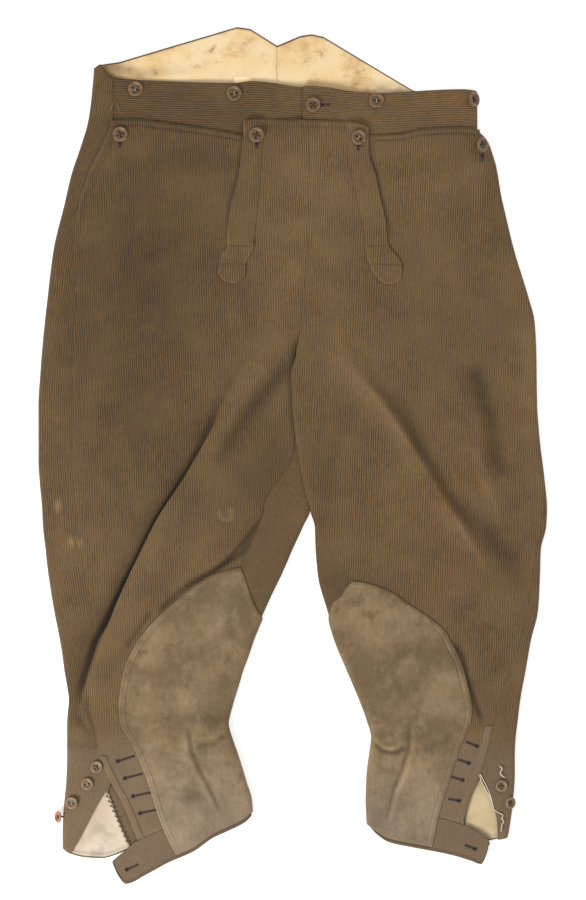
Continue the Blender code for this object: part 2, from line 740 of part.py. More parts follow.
def main():
    for thing in list(bpy.data.objects):
        bpy.data.objects.remove(thing)
    make_back("back_right", RIGHT, RIGHT_UNDER_HEM)
    make_back("back_left", LEFT, LEFT_UNDER_HEM)
    make_front("front_right", RIGHT, RIGHT_FRONT_TOP, RIGHT_SLIT, RIGHT_KNEE_BAND_TOP)
    make_front("front_left", LEFT, LEFT_FRONT_TOP, LEFT_SLIT, LEFT_KNEE_BAND_TOP)
    make_waistbands()
    make_waist_lining("waist_lining_right", 1, -212, -18.4)
    make_waist_lining("waist_lining_left", 1, -17.6, 140)
    make_strip("fall_strip_right", RIGHT, RIGHT_STRIP)
    make_strip("fall_strip_left", LEFT, LEFT_STRIP)
    make_patch("knee_patch_right", RIGHT, RIGHT_PATCH, RIGHT_HEM)
    make_patch("knee_patch_left", LEFT, LEFT_PATCH, LEFT_HEM)
    make_placket("placket_right", RIGHT, -336, -428)
    make_placket("placket_left", LEFT, -302, -410)
    make_knee_band("knee_band_right", RIGHT, RIGHT_KNEE_BAND_TOP, RIGHT_HEM)
    make_knee_band("knee_band_left", LEFT, LEFT_KNEE_BAND_TOP, LEFT_HEM)
    make_knee_lining("knee_lining_right", RIGHT, RIGHT_KNEE_LINING, RIGHT_UNDER_HEM)
    make_knee_lining("knee_lining_left", LEFT, LEFT_KNEE_LINING, LEFT_UNDER_HEM)
    make_buttons("waist_button", WAIST_BUTTONS, WAIST_BUTTON_R)
    make_buttons("knee_button", KNEE_BUTTONS, KNEE_BUTTON_R)


main()
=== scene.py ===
"""Fall-front cord knee breeches, laid flat on their back with the front up.

Metres, +Z up, +Y towards the waist. The wearer's right half is on the -X side.
"""

import math

import bpy
import numpy as np
from mathutils import Matrix, Vector


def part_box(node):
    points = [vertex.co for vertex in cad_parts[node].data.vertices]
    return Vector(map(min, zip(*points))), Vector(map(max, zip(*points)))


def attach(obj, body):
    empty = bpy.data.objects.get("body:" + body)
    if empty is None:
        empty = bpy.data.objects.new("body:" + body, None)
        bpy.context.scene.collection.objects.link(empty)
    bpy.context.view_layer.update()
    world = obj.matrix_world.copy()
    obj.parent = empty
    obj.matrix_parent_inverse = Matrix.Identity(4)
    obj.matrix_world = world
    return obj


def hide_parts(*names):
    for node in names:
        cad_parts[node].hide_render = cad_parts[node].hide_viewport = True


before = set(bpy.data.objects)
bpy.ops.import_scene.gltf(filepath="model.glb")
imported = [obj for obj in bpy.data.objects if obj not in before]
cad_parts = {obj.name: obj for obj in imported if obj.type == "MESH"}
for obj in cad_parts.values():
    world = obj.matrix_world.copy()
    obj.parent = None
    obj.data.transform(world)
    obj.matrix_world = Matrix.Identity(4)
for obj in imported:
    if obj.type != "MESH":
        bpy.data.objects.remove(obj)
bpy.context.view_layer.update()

# ---------------------------------------------------------------- the backs
# The two backs are heavy ribbed cord. Each runs from the outside seam round the outer
# edge, under the garment and up round the inside of the leg, and rises to the fishtail.
# The two halves are joined down the centre back and round the crotch.

MM = 0.001
CORD = 1.8 * MM
LAY = 7.2 * MM  # outer height of two sheets lying on each other
ROLL = 5.0 * MM  # width of the roll at the side of a flattened tube
ROUND_ROLL = 16 * MM  # length of the skin round a roll
CROTCH = 117 * MM
CROTCH_CLOSES = 22 * MM
LEG_GAP = -60 * MM
PATCH_OUT = 2.5 * MM
UNDER = 0.6 * MM  # how far the back runs on under the front at a seam

# Tables are in millimetres, under the names of their columns.
CENTRE_LINE = (
    ("y", "front_in", "back_in"),
    (480, 18, -18), (434, 18, -17), (375, 18, -13), (314, 18, -9), (230, 16, -3),
    (174, 11, 1), (117, 5, 5), (90, -1, -1), (56, 0, 0), (16, 4, 4), (-25, 11, 11),
    (-60, 19, 19),
)
RIGHT_SECTIONS = (
    ("y", "outer", "inner", "front_seam", "back_seam", "inseam"),
    (480, -223, 19, 22, 22, 0), (434, -223, 19, 22, 22, 0), (407, -225, 19, 24, 24, 0),
    (375, -229, 19, 27, 27, 0), (347, -237, 19, 24, 24, 0), (314, -248, 19, 19, 19, 0),
    (280, -256, 19, 16, 16, 0), (230, -268, 19, 23, 23, 0), (174, -275, 19, 33, 33, 0),
    (117, -281, 19, 35, 35, 0), (90, -283, 19, 37, 37, 0), (56, -285, 19, 39, 39, 0),
    (18, -285, 19, 39, 39, 1.5), (-8, -285, 19, 39, 39, 12), (-25, -284, 19, 38, 38, 27),
    (-60, -281, 19, 39, 39, 52), (-80, -280, 11, 40, 40, 50), (-106, -277, -1, 41, 41, 49),
    (-125, -275, -9, 42, 42, 49), (-165, -269, -28, 43, 43, 26), (-207, -261, -46, 41, 41, 4),
    (-225, -258, -52, 34, 34, 0),
    (-241, -256, -58, 25, 25, 0), (-258, -253, -63, 17, 17, 0), (-274, -251, -68, 16, 16, 0),
    (-285, -252, -71, 21, 21, 0), (-299, -253, -74, 29, 29, 0),
    (-319, -253, -69, 32, 32, 0), (-333, -253, -64, 35, 35, 0), (-365, -254, -54, 50, 50, 0),
    (-386, -256, -48, 64, 38, 0), (-420, -258, -46, 80, 19, 0), (-440, -258, -46, 87, 8, 0),
)
LEFT_SECTIONS = (
    ("y", "outer", "inner", "front_seam", "back_seam", "inseam"),
    (480, 205, 19, 0, 0, 0), (375, 206, 19, 0, 0, 0), (362, 206, 19, 0, 0, 0),
    (353, 214, 19, 0, 0, 0), (335, 221, 19, 0, 0, 0), (314, 227, 19, 0, 0, 0),
    (280, 235, 19, 0, 0, 0), (230, 247, 19, 0, 0, 0), (174, 264, 19, 0, 0, 0),
    (150, 270, 19, 0, 0, 0), (117, 272, 19, 0, 0, 0), (56, 273, 19, 0, 0, 0),
    (16, 276, 19, 0, 0, 0), (-25, 281, 19, 0, 0, 0), (-60, 284, 19, 4, 4, 0),
    (-80, 283, 24, 5, 5, 4), (-106, 277, 25, 6, 6, 16), (-137, 276, 28, 9, 9, 33),
    (-173, 274, 38, 12, 12, 24), (-207, 266, 48, 14, 14, 4), (-241, 260, 62, 19, 19, 0),
    (-274, 254, 76, 25, 25, 0), (-299, 251, 85, 27, 27, 0), (-315, 249, 89, 28, 28, 0),
    (-333, 248, 87, 32, 32, 0), (-357, 248, 84, 39, 39, 0), (-386, 246, 83, 49, 25, 0),
    (-410, 243, 84, 52, 16, 0), (-440, 238, 88, 52, 10, 0),
)
# The deep fold from the crotch to the outside of the right knee: the cloth on its knee
# side lies over the cloth outside it, by the tuck.
RIGHT_FOLD = (
    ("y", "x", "rise", "tuck", "spread"),
    (118, -45, 0, 0, 45), (56, -80, 2.5, 1, 50), (26, -92, 4.4, 4, 50), (-20, -115, 6.2, 7, 45),
    (-71, -147, 7, 8, 45), (-117, -170, 7, 8, 42), (-160, -192, 7, 6, 36),
    (-190, -207, 6.6, 2.5, 34), (-207, -216, 6.4, 0.5, 34), (-241, -227, 5.6, 0, 28),
    (-258, -232, 4.6, 0, 26), (-274, -237, 1.6, 0, 24), (-290, -241, 0, 0, 24),
)
FOLD_WIDTH = 7 * MM
# Creases: how far the cloth stands up or dips, how much lighter or darker it is painted there
# (painted shade in the dips and along the edges of folds, slits and patches, painted highlight on the
# crests, and on the right one pale worn mark), the width, and the places that the crease runs
# through.
RIGHT_CREASES = (
    (-2.6, -0.34, 8.5, ((11, 140), (1, 108), (-37, 65), (-60, 33), (-84, -8))),
    (0.0, 0.08, 8, ((-20, 104), (-50, 72), (-78, 30), (-100, -10))),
    (0.0, -0.30, 3, ((-56, 364), (-59, 340), (-62, 313), (-72, 278), (-76, 240))),
    (0.0, -0.14, 2.2, ((-160, 322), (-100, 349), (-60, 344))),
    (1.0, 0.05, 12, ((-30, 112), (-58, 74), (-74, 40))),
    (-1.0, -0.14, 6, ((-214, 46), (-196, 58), (-184, 70))),
    (0.0, -0.34, 3, ((-208, -180), (-219, -210), (-229, -241), (-236, -262), (-241, -285))),
    (-0.6, -0.28, 2.6, ((-232, -258), (-229, -287), (-222, -306), (-218, -334))),
    (0.0, -0.16, 12, ((-232, -190), (-246, -230), (-246, -270), (-244, -310))),
    (0.0, -0.55, 3.4, ((-38, -80), (-57, -110), (-90, -129), (-108, -139), (-126, -152),
                       (-142, -166), (-156, -182))),
    (-1.6, -0.55, 3.0, ((-30, -64), (-55, -96), (-73, -117), (-91, -132), (-127, -151))),
    (0.0, -0.42, 2.4, ((-157, -173), (-168, -187), (-179, -203), (-189, -218))),
    (-0.9, -0.16, 4, ((-258, -322), (-240, -323), (-217, -322))),
    (-1.0, -0.22, 3.5, ((-243, -288), (-236, -300), (-222, -318))),
    (-1.2, -0.12, 14, ((-205, 330), (-160, 322), (-120, 330), (-80, 338))),
    (1.2, 0.04, 16, ((-150, 300), (-120, 240), (-110, 170))),
    (-1.0, -0.06, 22, ((-190, 250), (-170, 150), (-175, 60))),
    (1.0, 0.05, 12, ((-222, -40), (-205, -110), (-215, -190))),
    (-0.8, -0.10, 8, ((-60, 250), (-52, 170), (-40, 120))),
    (0.0, 0.60, 2.2, ((-84, -58), (-82, -68), (-76, -73), (-69, -70), (-69, -62), (-76, -60))),
)
LEFT_CREASES = (
    (4.8, 0.10, 11, ((46, 136), (70, 92), (97, 61), (121, 26), (145, -12), (169, -51), (195, -92),
                    (225, -140))),
    (0.6, 0.22, 3.2, ((66, 94), (97, 61), (121, 26), (145, -12), (169, -51), (195, -92),
                     (220, -132))),
    (0.0, -0.26, 6, ((84, 88), (106, 61), (131, 26), (155, -12), (179, -51), (206, -92))),
    (0.0, -0.30, 3, ((86, 362), (88, 330), (94, 312), (99, 290), (107, 258), (110, 238))),
    (-2.6, -0.26, 11, ((113, 82), (133, 36), (151, -12), (166, -40), (215, -79), (245, -120),
                      (262, -160))),
    (-3.0, -0.40, 11, ((197, 110), (211, 74), (223, 36), (227, 0), (239, -30))),
    (1.6, 0.14, 8, ((200, 20), (212, -20), (225, -51), (235, -76))),
    (-1.2, -0.60, 3.0, ((176, -204), (189, -224), (198, -259), (205, -281), (212, -301))),
    (-1.2, -0.10, 16, ((75, 330), (130, 318), (190, 322))),
    (1.0, 0.04, 18, ((150, 300), (160, 230), (200, 160))),
    (-0.8, -0.08, 10, ((215, 320), (225, 270), (240, 215))),
    (0.8, 0.05, 14, ((60, 40), (60, -40), (70, -110))),
    (-1.0, -0.12, 5, ((196, -262), (222, -240), (246, -226))),
)
# Broad places, partly painted shade and light and partly worn or dirty, with a few pale specks: x, y,
# half width, half height, lighter or darker.
RIGHT_SHADE_AND_WEAR = (
    (-160, 220, 80, 140, -0.30), (-170, 40, 80, 120, -0.12), (-20, -20, 30, 60, -0.12),
    (20, 300, 65, 110, 0.17), (-85, 325, 30, 16, -0.16),
    (-30, -40, 50, 70, -0.14), (-150, 0, 70, 70, -0.10), (-245, 120, 20, 130, -0.12),
    (-235, -240, 20, 40, 0.14), (-170, 245, 50, 40, -0.06),
    (-190, 150, 40, 30, -0.05), (-40, 200, 45, 90, 0.05), (-120, -5, 60, 60, 0.02),
    (-30, 20, 40, 40, -0.05), (-250, -130, 18, 60, 0.06), (-225, -210, 30, 60, -0.08),
    (-150, -190, 30, 60, 0.06), (-215, -340, 30, 30, -0.10), (-25, -90, 30, 60, -0.12),
    (20, 120, 30, 30, 0.08), (-263, -56, 3.5, 6, 1.3), (-248, -97, 3, 5, 0.9),
    (-238, -97, 3, 5, 0.8), (-205, 60, 40, 60, -0.04),
)
LEFT_SHADE_AND_WEAR = (
    (60, 100, 40, 50, 0.10), (120, 250, 60, 90, -0.05), (20, 320, 110, 110, 0.17),
    (150, 320, 70, 60, 0.12), (45, -20, 40, 90, -0.12), (265, 100, 10, 100, 0.15),
    (100, -150, 60, 80, -0.02), (255, 60, 22, 70, 0.06), (235, -110, 25, 40, -0.12),
    (200, -160, 40, 50, -0.06), (230, -330, 25, 60, -0.12), (35, -60, 20, 70, -0.14),
    (45, -60, 25, 60, 0.03), (170, 120, 40, 50, -0.04), (110, 20, 30, 50, 0.05),
    (220, -240, 25, 40, -0.08), (185, 330, 30, 12, -0.08),
)


def curve(points, at):
    """A smooth line through points (place, value), read at any place: cubic pieces with a
    slope at each point that is the harmonic mean of its two runs, or level at a turn."""
    place, value = np.array(sorted(points), float).T
    run = np.diff(place)
    slope = np.diff(value) / run
    before, after = slope[:-1], slope[1:]
    turning = before * after <= 0
    mean = 2 * before * after / np.where(turning, 1, before + after)
    slopes = np.concatenate([slope[:1], np.where(turning, 0, mean), slope[-1:]])
    k = np.clip(np.searchsorted(place, at) - 1, 0, len(run) - 1)
    t = np.clip((at - place[k]) / run[k], 0, 1)
    return (
        value[k] * (1 + 2 * t) * (1 - t) ** 2 + value[k + 1] * t**2 * (3 - 2 * t)
        + run[k] * (slopes[k] * t * (1 - t) ** 2 - slopes[k + 1] * t**2 * (1 - t))
    )


def read(table, name, y):
    """A named column of a table at any height, in metres, smooth between its rows."""
    k = table[0].index(name)
    return curve([(row[0], row[k]) for row in table[1:]], np.asarray(y) / MM) * MM


def line(points, x):
    """Height of an edge of the cloth at x, in metres, smooth between its points."""
    return curve(points, np.asarray(x) / MM) * MM


def smooth(t):
    """0 below t = 0 and 1 above t = 1, with no corner between."""
    t = np.clip(t, 0, 1)
    return t * t * (3 - 2 * t)


def joined(*axes):
    """Points or grains from their coordinates."""
    return np.stack(np.broadcast_arrays(*axes), axis=-1)


def by_column(count):
    """Shares from 0 at the first column of a grid to 1 at its last."""
    return np.linspace(0, 1, count)[None, :]


def near(x, y, points):
    """Distance of each place from a line through points, and its share along that line."""
    ends = np.array(points, float) * MM
    best = np.full(np.shape(x), 1e9)
    share = np.zeros(np.shape(x))
    for k, (a, b) in enumerate(zip(ends, ends[1:])):
        way = b - a
        t = np.clip(((x - a[0]) * way[0] + (y - a[1]) * way[1]) / (way @ way), 0, 1)
        distance = np.hypot(x - a[0] - t * way[0], y - a[1] - t * way[1])
        closer = distance < best
        best = np.where(closer, distance, best)
        share = np.where(closer, (k + t) / (len(ends) - 1), share)
    return best, share


def bell(distance, width):
    """1 at no distance, easing to 0 past a width in millimetres."""
    return np.exp(-((distance / (width * MM)) ** 2))


def creased(x, y, lines, ends=0.15):
    """The relief and the tone of creases along lines, each a bell across its line that
    fades over a share of it at both ends."""
    relief, tone = np.zeros(np.shape(x)), np.ones(np.shape(x))
    for rise, shade, width, points in lines:
        distance, share = near(x, y, points)
        across = bell(distance, width) * smooth(share / ends) * smooth((1 - share) / ends)
        relief, tone = relief + rise * MM * across, tone * (1 + shade * across)
    return relief, tone


def shade_and_soil(x, y, places):
    """The tone of broad places, each an oval that fades outwards: partly painted shade and light,
    partly wear, dirt and stains.
    """
    tone = 1.0
    for px, py, across, down, shade in places:
        tone = tone * (1 + shade * bell(x - px * MM, across) * bell(y - py * MM, down))
    return tone


class Half:
    """One half of the breeches, a flattened tube. A point of its skin has a height and a
    loop coordinate: 0 to 1 over the top from the inner edge to the outer edge, 1 to 2
    round the outer roll, 2 to 3 back underneath, 3 to 4 (or -1 to 0) up the inner roll."""

    def __init__(self, side, sections, creases, places, fold=None):
        self.side, self.sections, self.fold = side, sections, fold
        self.creases, self.places = creases, places

    def inner(self, y, name="front_in"):
        """The inner edge: the centre line down to the gap between the legs, then the leg's."""
        leg = read(self.sections, "inner", y)
        return np.where(y >= LEG_GAP, read(CENTRE_LINE, name, y), leg)

    def inner_roll(self, y):
        """Width of the inner roll: none down to the crotch, then the full roll."""
        return ROLL * smooth((CROTCH - y) / CROTCH_CLOSES)

    def crotch_lap(self, y):
        """1 where the left leg lies over the right one, from the crotch to the gap."""
        return smooth((CROTCH + 25 * MM - y) / (30 * MM)) * smooth((y - LEG_GAP + 6 * MM) / (20 * MM))

    def edges(self, y, inner="front_in"):
        """Where the rolls begin: the ends of the flat stretch of a section."""
        lapped = 0.1 * MM + 1.2 * MM * self.crotch_lap(y)
        closing = self.side * (self.inner_roll(y) - lapped)
        return self.inner(y, inner) + closing, read(self.sections, "outer", y) - self.side * ROLL

    def base(self, x, y):
        """Height of the underside: raised a little where a patch is turned under."""
        from_inner = self.side * (x - self.inner(y))
        inside = 1 - smooth((from_inner - 38 * MM) / (60 * MM))
        return PATCH_OUT * inside * smooth((-110 * MM - y) / (66 * MM))

    def height(self, x, y):
        """Outer height of the top sheet: the lay, the creases, and the lap of the left half
        at the crotch."""
        z = LAY + self.base(x, y) + creased(x, y, self.creases)[0]
        if self.side > 0:
            z = z + 2.5 * MM * self.crotch_lap(y) * bell(x - self.inner(y), 30)
        return z

    def folded(self, x, y):
        """The fold: across its width the cloth runs out, back under itself and out again,
        x = t - tuck sin(pi t), while its height eases down; inside it slopes away."""
        z = self.height(x, y)
        if not self.fold:
            return x, z
        out = self.side * (x - read(self.fold, "x", y))
        t = np.clip(out / FOLD_WIDTH, -1, 1)
        inside = np.minimum(out + FOLD_WIDTH, 0) / read(self.fold, "spread", y)
        rise = read(self.fold, "rise", y) * np.exp(-(inside**2))
        shift = -self.side * read(self.fold, "tuck", y) * np.sin(np.pi * t)
        return x + shift, z + rise * (1 - np.sin(np.pi * t / 2)) / 2

    def tone(self, x, y):
        """How light the cloth is: painted highlight on crests and painted shade in dips, from the
        creases; painted shadow outside the fold's edge and under the lap at the crotch; and broad
        places that are partly painted shade and light and partly wear and dirt.
        """
        tone = creased(x, y, self.creases)[1] * shade_and_soil(x, y, self.places)
        # Painted shadow on the cloth just outside the fold's edge, and a painted highlight on the
        # knee side of its crest.
        if self.fold:
            out = self.side * (x - read(self.fold, "x", y))
            rise = read(self.fold, "rise", y) / (7 * MM)
            past = np.maximum(out - 6 * MM, 0)
            dark = 0.56 * bell(past, 4) + 0.36 * bell(past, 16)
            crest = 0.08 * bell(out + 6 * MM, 12)
            lower = smooth(out / (2 * MM))
            tone = tone * (1 - rise * (lower * dark - (1 - lower) * crest))
        # Painted shadow on the right half along its inner edge, where the left half laps over it at
        # the crotch.
        if self.side < 0:
            tone = tone * (1 - 0.55 * bell(self.inner(y) - x, 4.5) * self.crotch_lap(y))
        return tone

    def flat_x(self, loop, y):
        """Where a point of the top sheet lies across the garment, before the fold."""
        inner, outer = self.edges(y)
        return inner + (outer - inner) * np.clip(loop, 0, 1)

    def widths(self, y):
        """Lengths of the seven stretches of the loop from -2 to 5, in metres."""
        inner, outer = self.edges(y)
        flat = np.abs(outer - inner)
        outer_roll = flat * 0 + ROUND_ROLL
        inner_roll = np.maximum(ROUND_ROLL * self.inner_roll(y) / ROLL, 1e-6)
        return [flat, inner_roll, flat, outer_roll, flat, inner_roll, flat]

    def length(self, loop, y):
        """Distance along the skin from loop -2, adding up the stretches passed."""
        return sum(w * np.clip(loop - k, 0, 1) for k, w in zip(range(-2, 5), self.widths(y)))

    def at_length(self, distance, y):
        """The loop coordinate at a distance along the skin, the reverse of length."""
        loop, passed = -2.0, 0.0
        for width in self.widths(y):
            loop = loop + np.clip((distance - passed) / width, 0, 1)
            passed = passed + width
        return loop

    def skin(self, loop, y, lift):
        """Points of the outer surface at a loop coordinate and height, moved out by lift:
        straight over the top and underneath, and a half turn of an ellipse at each roll."""
        loop, y, lift = np.broadcast_arrays(loop, y, lift)
        inner, outer = self.edges(y)
        back_inner = self.edges(y, "back_in")[0]
        loop = np.where(loop > 3, loop - 4, loop)
        on_top = inner + (outer - inner) * np.clip(loop, 0, 1)
        low_out = outer + (back_inner - outer) * np.clip(loop - 2, 0, 1)
        low_in = inner + (outer - inner) * np.clip(-1 - loop, 0, 1)
        x = np.where(loop < -1, low_in, np.where(loop > 2, low_out, on_top))
        moved, top = self.folded(on_top, y)
        x = np.where((loop >= 0) & (loop <= 1), moved, x)
        floor = self.base(x, y)
        middle, half = (top + floor) / 2, (top - floor) / 2
        turn = np.where(loop < 0, -loop, loop - 1) * math.pi
        rolling = ((loop < 0) & (loop >= -1)) | ((loop > 1) & (loop <= 2))
        width = np.where(loop < 0, self.inner_roll(y), ROLL)
        way = np.where(loop < 0, -self.side, self.side)
        x = x + np.where(rolling, way * (width + lift) * np.sin(turn), 0)
        flat = np.where((loop < -1) | (loop > 2), floor - lift, top + lift)
        z = np.where(rolling, middle + (half + lift) * np.cos(turn), flat)
        return joined(x, y, z)

    def from_inner(self, distance, y):
        """Loop coordinate of a place this far in from the inner edge, over the top."""
        roll = np.maximum(self.inner_roll(y), 1e-6)
        inner, outer = self.edges(y)
        onto = (np.abs(distance) - roll) / np.abs(outer - inner)
        turned = np.where(distance <= -roll, -1 - onto, (distance / roll - 1) / 2)
        return np.where(distance >= roll, onto, turned)

    def from_outer(self, distance, y):
        """Loop coordinate of a place this far in from the outer edge, over the top."""
        inner, outer = self.edges(y)
        onto = (np.abs(distance) - ROLL) / np.abs(outer - inner)
        turned = np.where(distance <= -ROLL, 2 + onto, 1.5 - distance / ROLL / 2)
        return np.where(distance >= ROLL, 1 - onto, turned)

    def of_x(self, x, y):
        """Loop coordinate of a place on the top sheet."""
        return self.from_inner(self.side * (x - self.inner(y)), y)


RIGHT = Half(-1, RIGHT_SECTIONS, RIGHT_CREASES, RIGHT_SHADE_AND_WEAR, RIGHT_FOLD)
LEFT = Half(1, LEFT_SECTIONS, LEFT_CREASES, LEFT_SHADE_AND_WEAR)


def bent(half, loop, level, top, hem, fade):
    """Heights of grid points, bent so that the first and last rows follow top and hem, and
    fading to level rows over fade = (below the top, above the hem)."""
    height = level
    for _ in range(3):
        x = half.skin(loop(height), height, 0)[..., 0]
        up = smooth((level - (level[0] - fade[0])) / fade[0])
        down = smooth((level[-1] + fade[1] - level) / fade[1])
        height = level + (top(x) - level[0]) * up + (hem(x) - level[-1]) * down
    return height


def grid_mesh(points, grain, tone, side, slit=None, ribs=1.0):
    """A mesh of a grid of points (rows down, columns outwards) with its grain as a UV map
    in metres, and its tone and how plainly its ribs show as attributes. slit = (column,
    rows) parts it down a column."""
    rows, columns = points.shape[:2]
    index = np.arange(rows * columns).reshape(rows, columns)
    after = index.copy()
    places, grains, tones = points.reshape(-1, 3), grain.reshape(-1, 2), tone.reshape(-1)
    ribs = (ribs + 0 * tone).reshape(-1)
    if slit:
        column, last = slit
        twins = index[:last, column]
        apart = np.array((side * 0.8 * MM, 0, 0))
        after[:last, column] = rows * columns + np.arange(last)
        places = np.concatenate([places, places[twins] + apart])
        grains = np.concatenate([grains, grains[twins]])
        tones, ribs = np.append(tones, tones[twins]), np.append(ribs, ribs[twins])
    beyond = np.arange(columns - 1)[None, :] == (slit[0] if slit else -1)
    start = np.where(beyond, after[:-1, :-1], index[:-1, :-1])
    low = np.where(beyond, after[1:, :-1], index[1:, :-1])
    faces = np.stack([start, low, index[1:, 1:], index[:-1, 1:]], axis=-1).reshape(-1, 4)
    if side < 0:
        faces = faces[:, ::-1]
    mesh = bpy.data.meshes.new("grid")
    mesh.vertices.add(len(places))
    mesh.vertices.foreach_set("co", places.astype(np.float32).ravel())
    mesh.loops.add(faces.size)
    mesh.loops.foreach_set("vertex_index", faces.astype(np.int32).ravel())
    mesh.polygons.add(len(faces))
    mesh.polygons.foreach_set("loop_start", np.arange(len(faces), dtype=np.int32) * 4)
    mesh.update(calc_edges=True)
    mesh.polygons.foreach_set("use_smooth", np.ones(len(faces), bool))
    layer = mesh.uv_layers.new(name="grain")
    layer.data.foreach_set("uv", grains[faces.ravel()].astype(np.float32).ravel())
    for kind, values in (("tone", tones), ("ribs", ribs)):
        layer = mesh.attributes.new(kind, "FLOAT", "POINT")
        layer.data.foreach_set("value", values.astype(np.float32))
    mesh.validate()
    return mesh


def placed(name, data):
    """A new object of the scene."""
    thing = bpy.data.objects.new(name, data)
    bpy.context.scene.collection.objects.link(thing)
    return thing


def cloth(side, kind, mesh, wall, material):
    """A sheet of cloth of one side, riding on the garment: its wall is turned inwards from the mesh."""
    side_name = "right" if side < 0 else "left"
    piece = placed(f"{side_name}_{kind}", mesh)
    mesh.name = piece.name
    mesh.materials.append(material)
    shell = piece.modifiers.new("wall", "SOLIDIFY")
    shell.thickness, shell.offset = wall, -1
    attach(piece, "root")
    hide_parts(f"{kind}_{side_name}")


class Socket:
    """A shader socket that a sum can be written on: each operator adds its Math node."""

    def __init__(self, tree, socket=None):
        self.tree, self.socket = tree, socket

    def node(self, kind, inputs=(), out=0, **settings):
        """Any node: its settings first, then the values or links of its sockets."""
        made = self.tree.nodes.new(kind)
        for name, value in settings.items():
            setattr(made, name, value)
        for name, value in dict(inputs).items():
            if isinstance(value, Socket):
                self.tree.links.new(value.socket, made.inputs[name])
            else:
                made.inputs[name].default_value = value
        return Socket(self.tree, made.outputs[out])

    def sum(self, operation, *values):
        return self.node("ShaderNodeMath", dict(enumerate(values)), operation=operation)

    def __add__(self, other):
        return self.sum("ADD", self, other)

    def __sub__(self, other):
        return self.sum("SUBTRACT", self, other)

    def __rsub__(self, other):
        return self.sum("SUBTRACT", other, self)

    def __mul__(self, other):
        return self.sum("MULTIPLY", self, other)

    __radd__ = __add__

    def sine(self):
        return self.sum("SINE", self)

    def place(self):
        """Where a point lies in its piece, in metres."""
        return self.node("ShaderNodeTexCoord", out=3)

    def worked(self, name):
        """A value that the mesh carries, such as its tone."""
        return self.node("ShaderNodeAttribute", out=2, attribute_name=name)

    def along(self, axis):
        """One coordinate of a vector."""
        return self.node("ShaderNodeSeparateXYZ", {0: self}, out=axis)

    def stretched(self, across, along):
        """A vector stretched by a number across and another along."""
        return self.node("ShaderNodeMapping", {"Vector": self, "Scale": (across, along, 1)})

    def step(self, low, high):
        """0 below low and 1 above high, eased between."""
        ends = {"Value": self, "From Min": low, "From Max": high}
        return self.node("ShaderNodeMapRange", ends, interpolation_type="SMOOTHSTEP")

    def noise(self, vector, scale, detail=3, rough=0.55):
        """Cloudy noise from 0 to 1 over a vector."""
        inputs = {"Vector": vector, "Scale": scale, "Detail": detail, "Roughness": rough}
        return self.node("ShaderNodeTexNoise", inputs)

    def mix(self, by, first, second):
        """One colour to another by a factor."""
        inputs = {0: by, 6: first, 7: second}
        return self.node("ShaderNodeMix", inputs, out=2, data_type="RGBA")

    def scaled(self, amount):
        """A colour or vector times a number."""
        inputs = {0: self, 3: amount}
        return self.node("ShaderNodeVectorMath", inputs, operation="SCALE")


def finish_of(name, roughness, sheen=0.0):
    """A new material: the wrapped tree, its shader, and its material."""
    made = bpy.data.materials.new(name)
    made.use_nodes = True
    shader = made.node_tree.nodes["Principled BSDF"]
    shader.inputs["Roughness"].default_value = roughness
    shader.inputs["Sheen Weight"].default_value = sheen
    shader.inputs["Sheen Roughness"].default_value = 0.5
    shader.inputs["Specular IOR Level"].default_value = 0.25
    return Socket(made.node_tree), shader, made


def wire(at, shader, colour, height, deep, strength=1.0):
    """Joins a colour, and a height through a bump of that depth, to the shader."""
    inputs = {"Height": height, "Distance": deep, "Strength": strength}
    normal = at.node("ShaderNodeBump", inputs)
    at.tree.links.new(colour.socket, shader.inputs["Base Color"])
    at.tree.links.new(normal.socket, shader.inputs["Normal"])


WALE = 2.5 * MM  # ten ribs to the inch
# The cord drifts between the first three colours, and has worn to the fourth at the knees; the fifth
# is painted shade in the grooves between the ribs.
OLIVE = (0.200, 0.125, 0.049, 1)
PLUM_BROWN = (0.180, 0.108, 0.053, 1)
WARM_BROWN = (0.222, 0.124, 0.049, 1)
KNEE_BROWN = (0.200, 0.136, 0.081, 1)
GROOVE_SHADE = (0.042, 0.026, 0.014, 1)


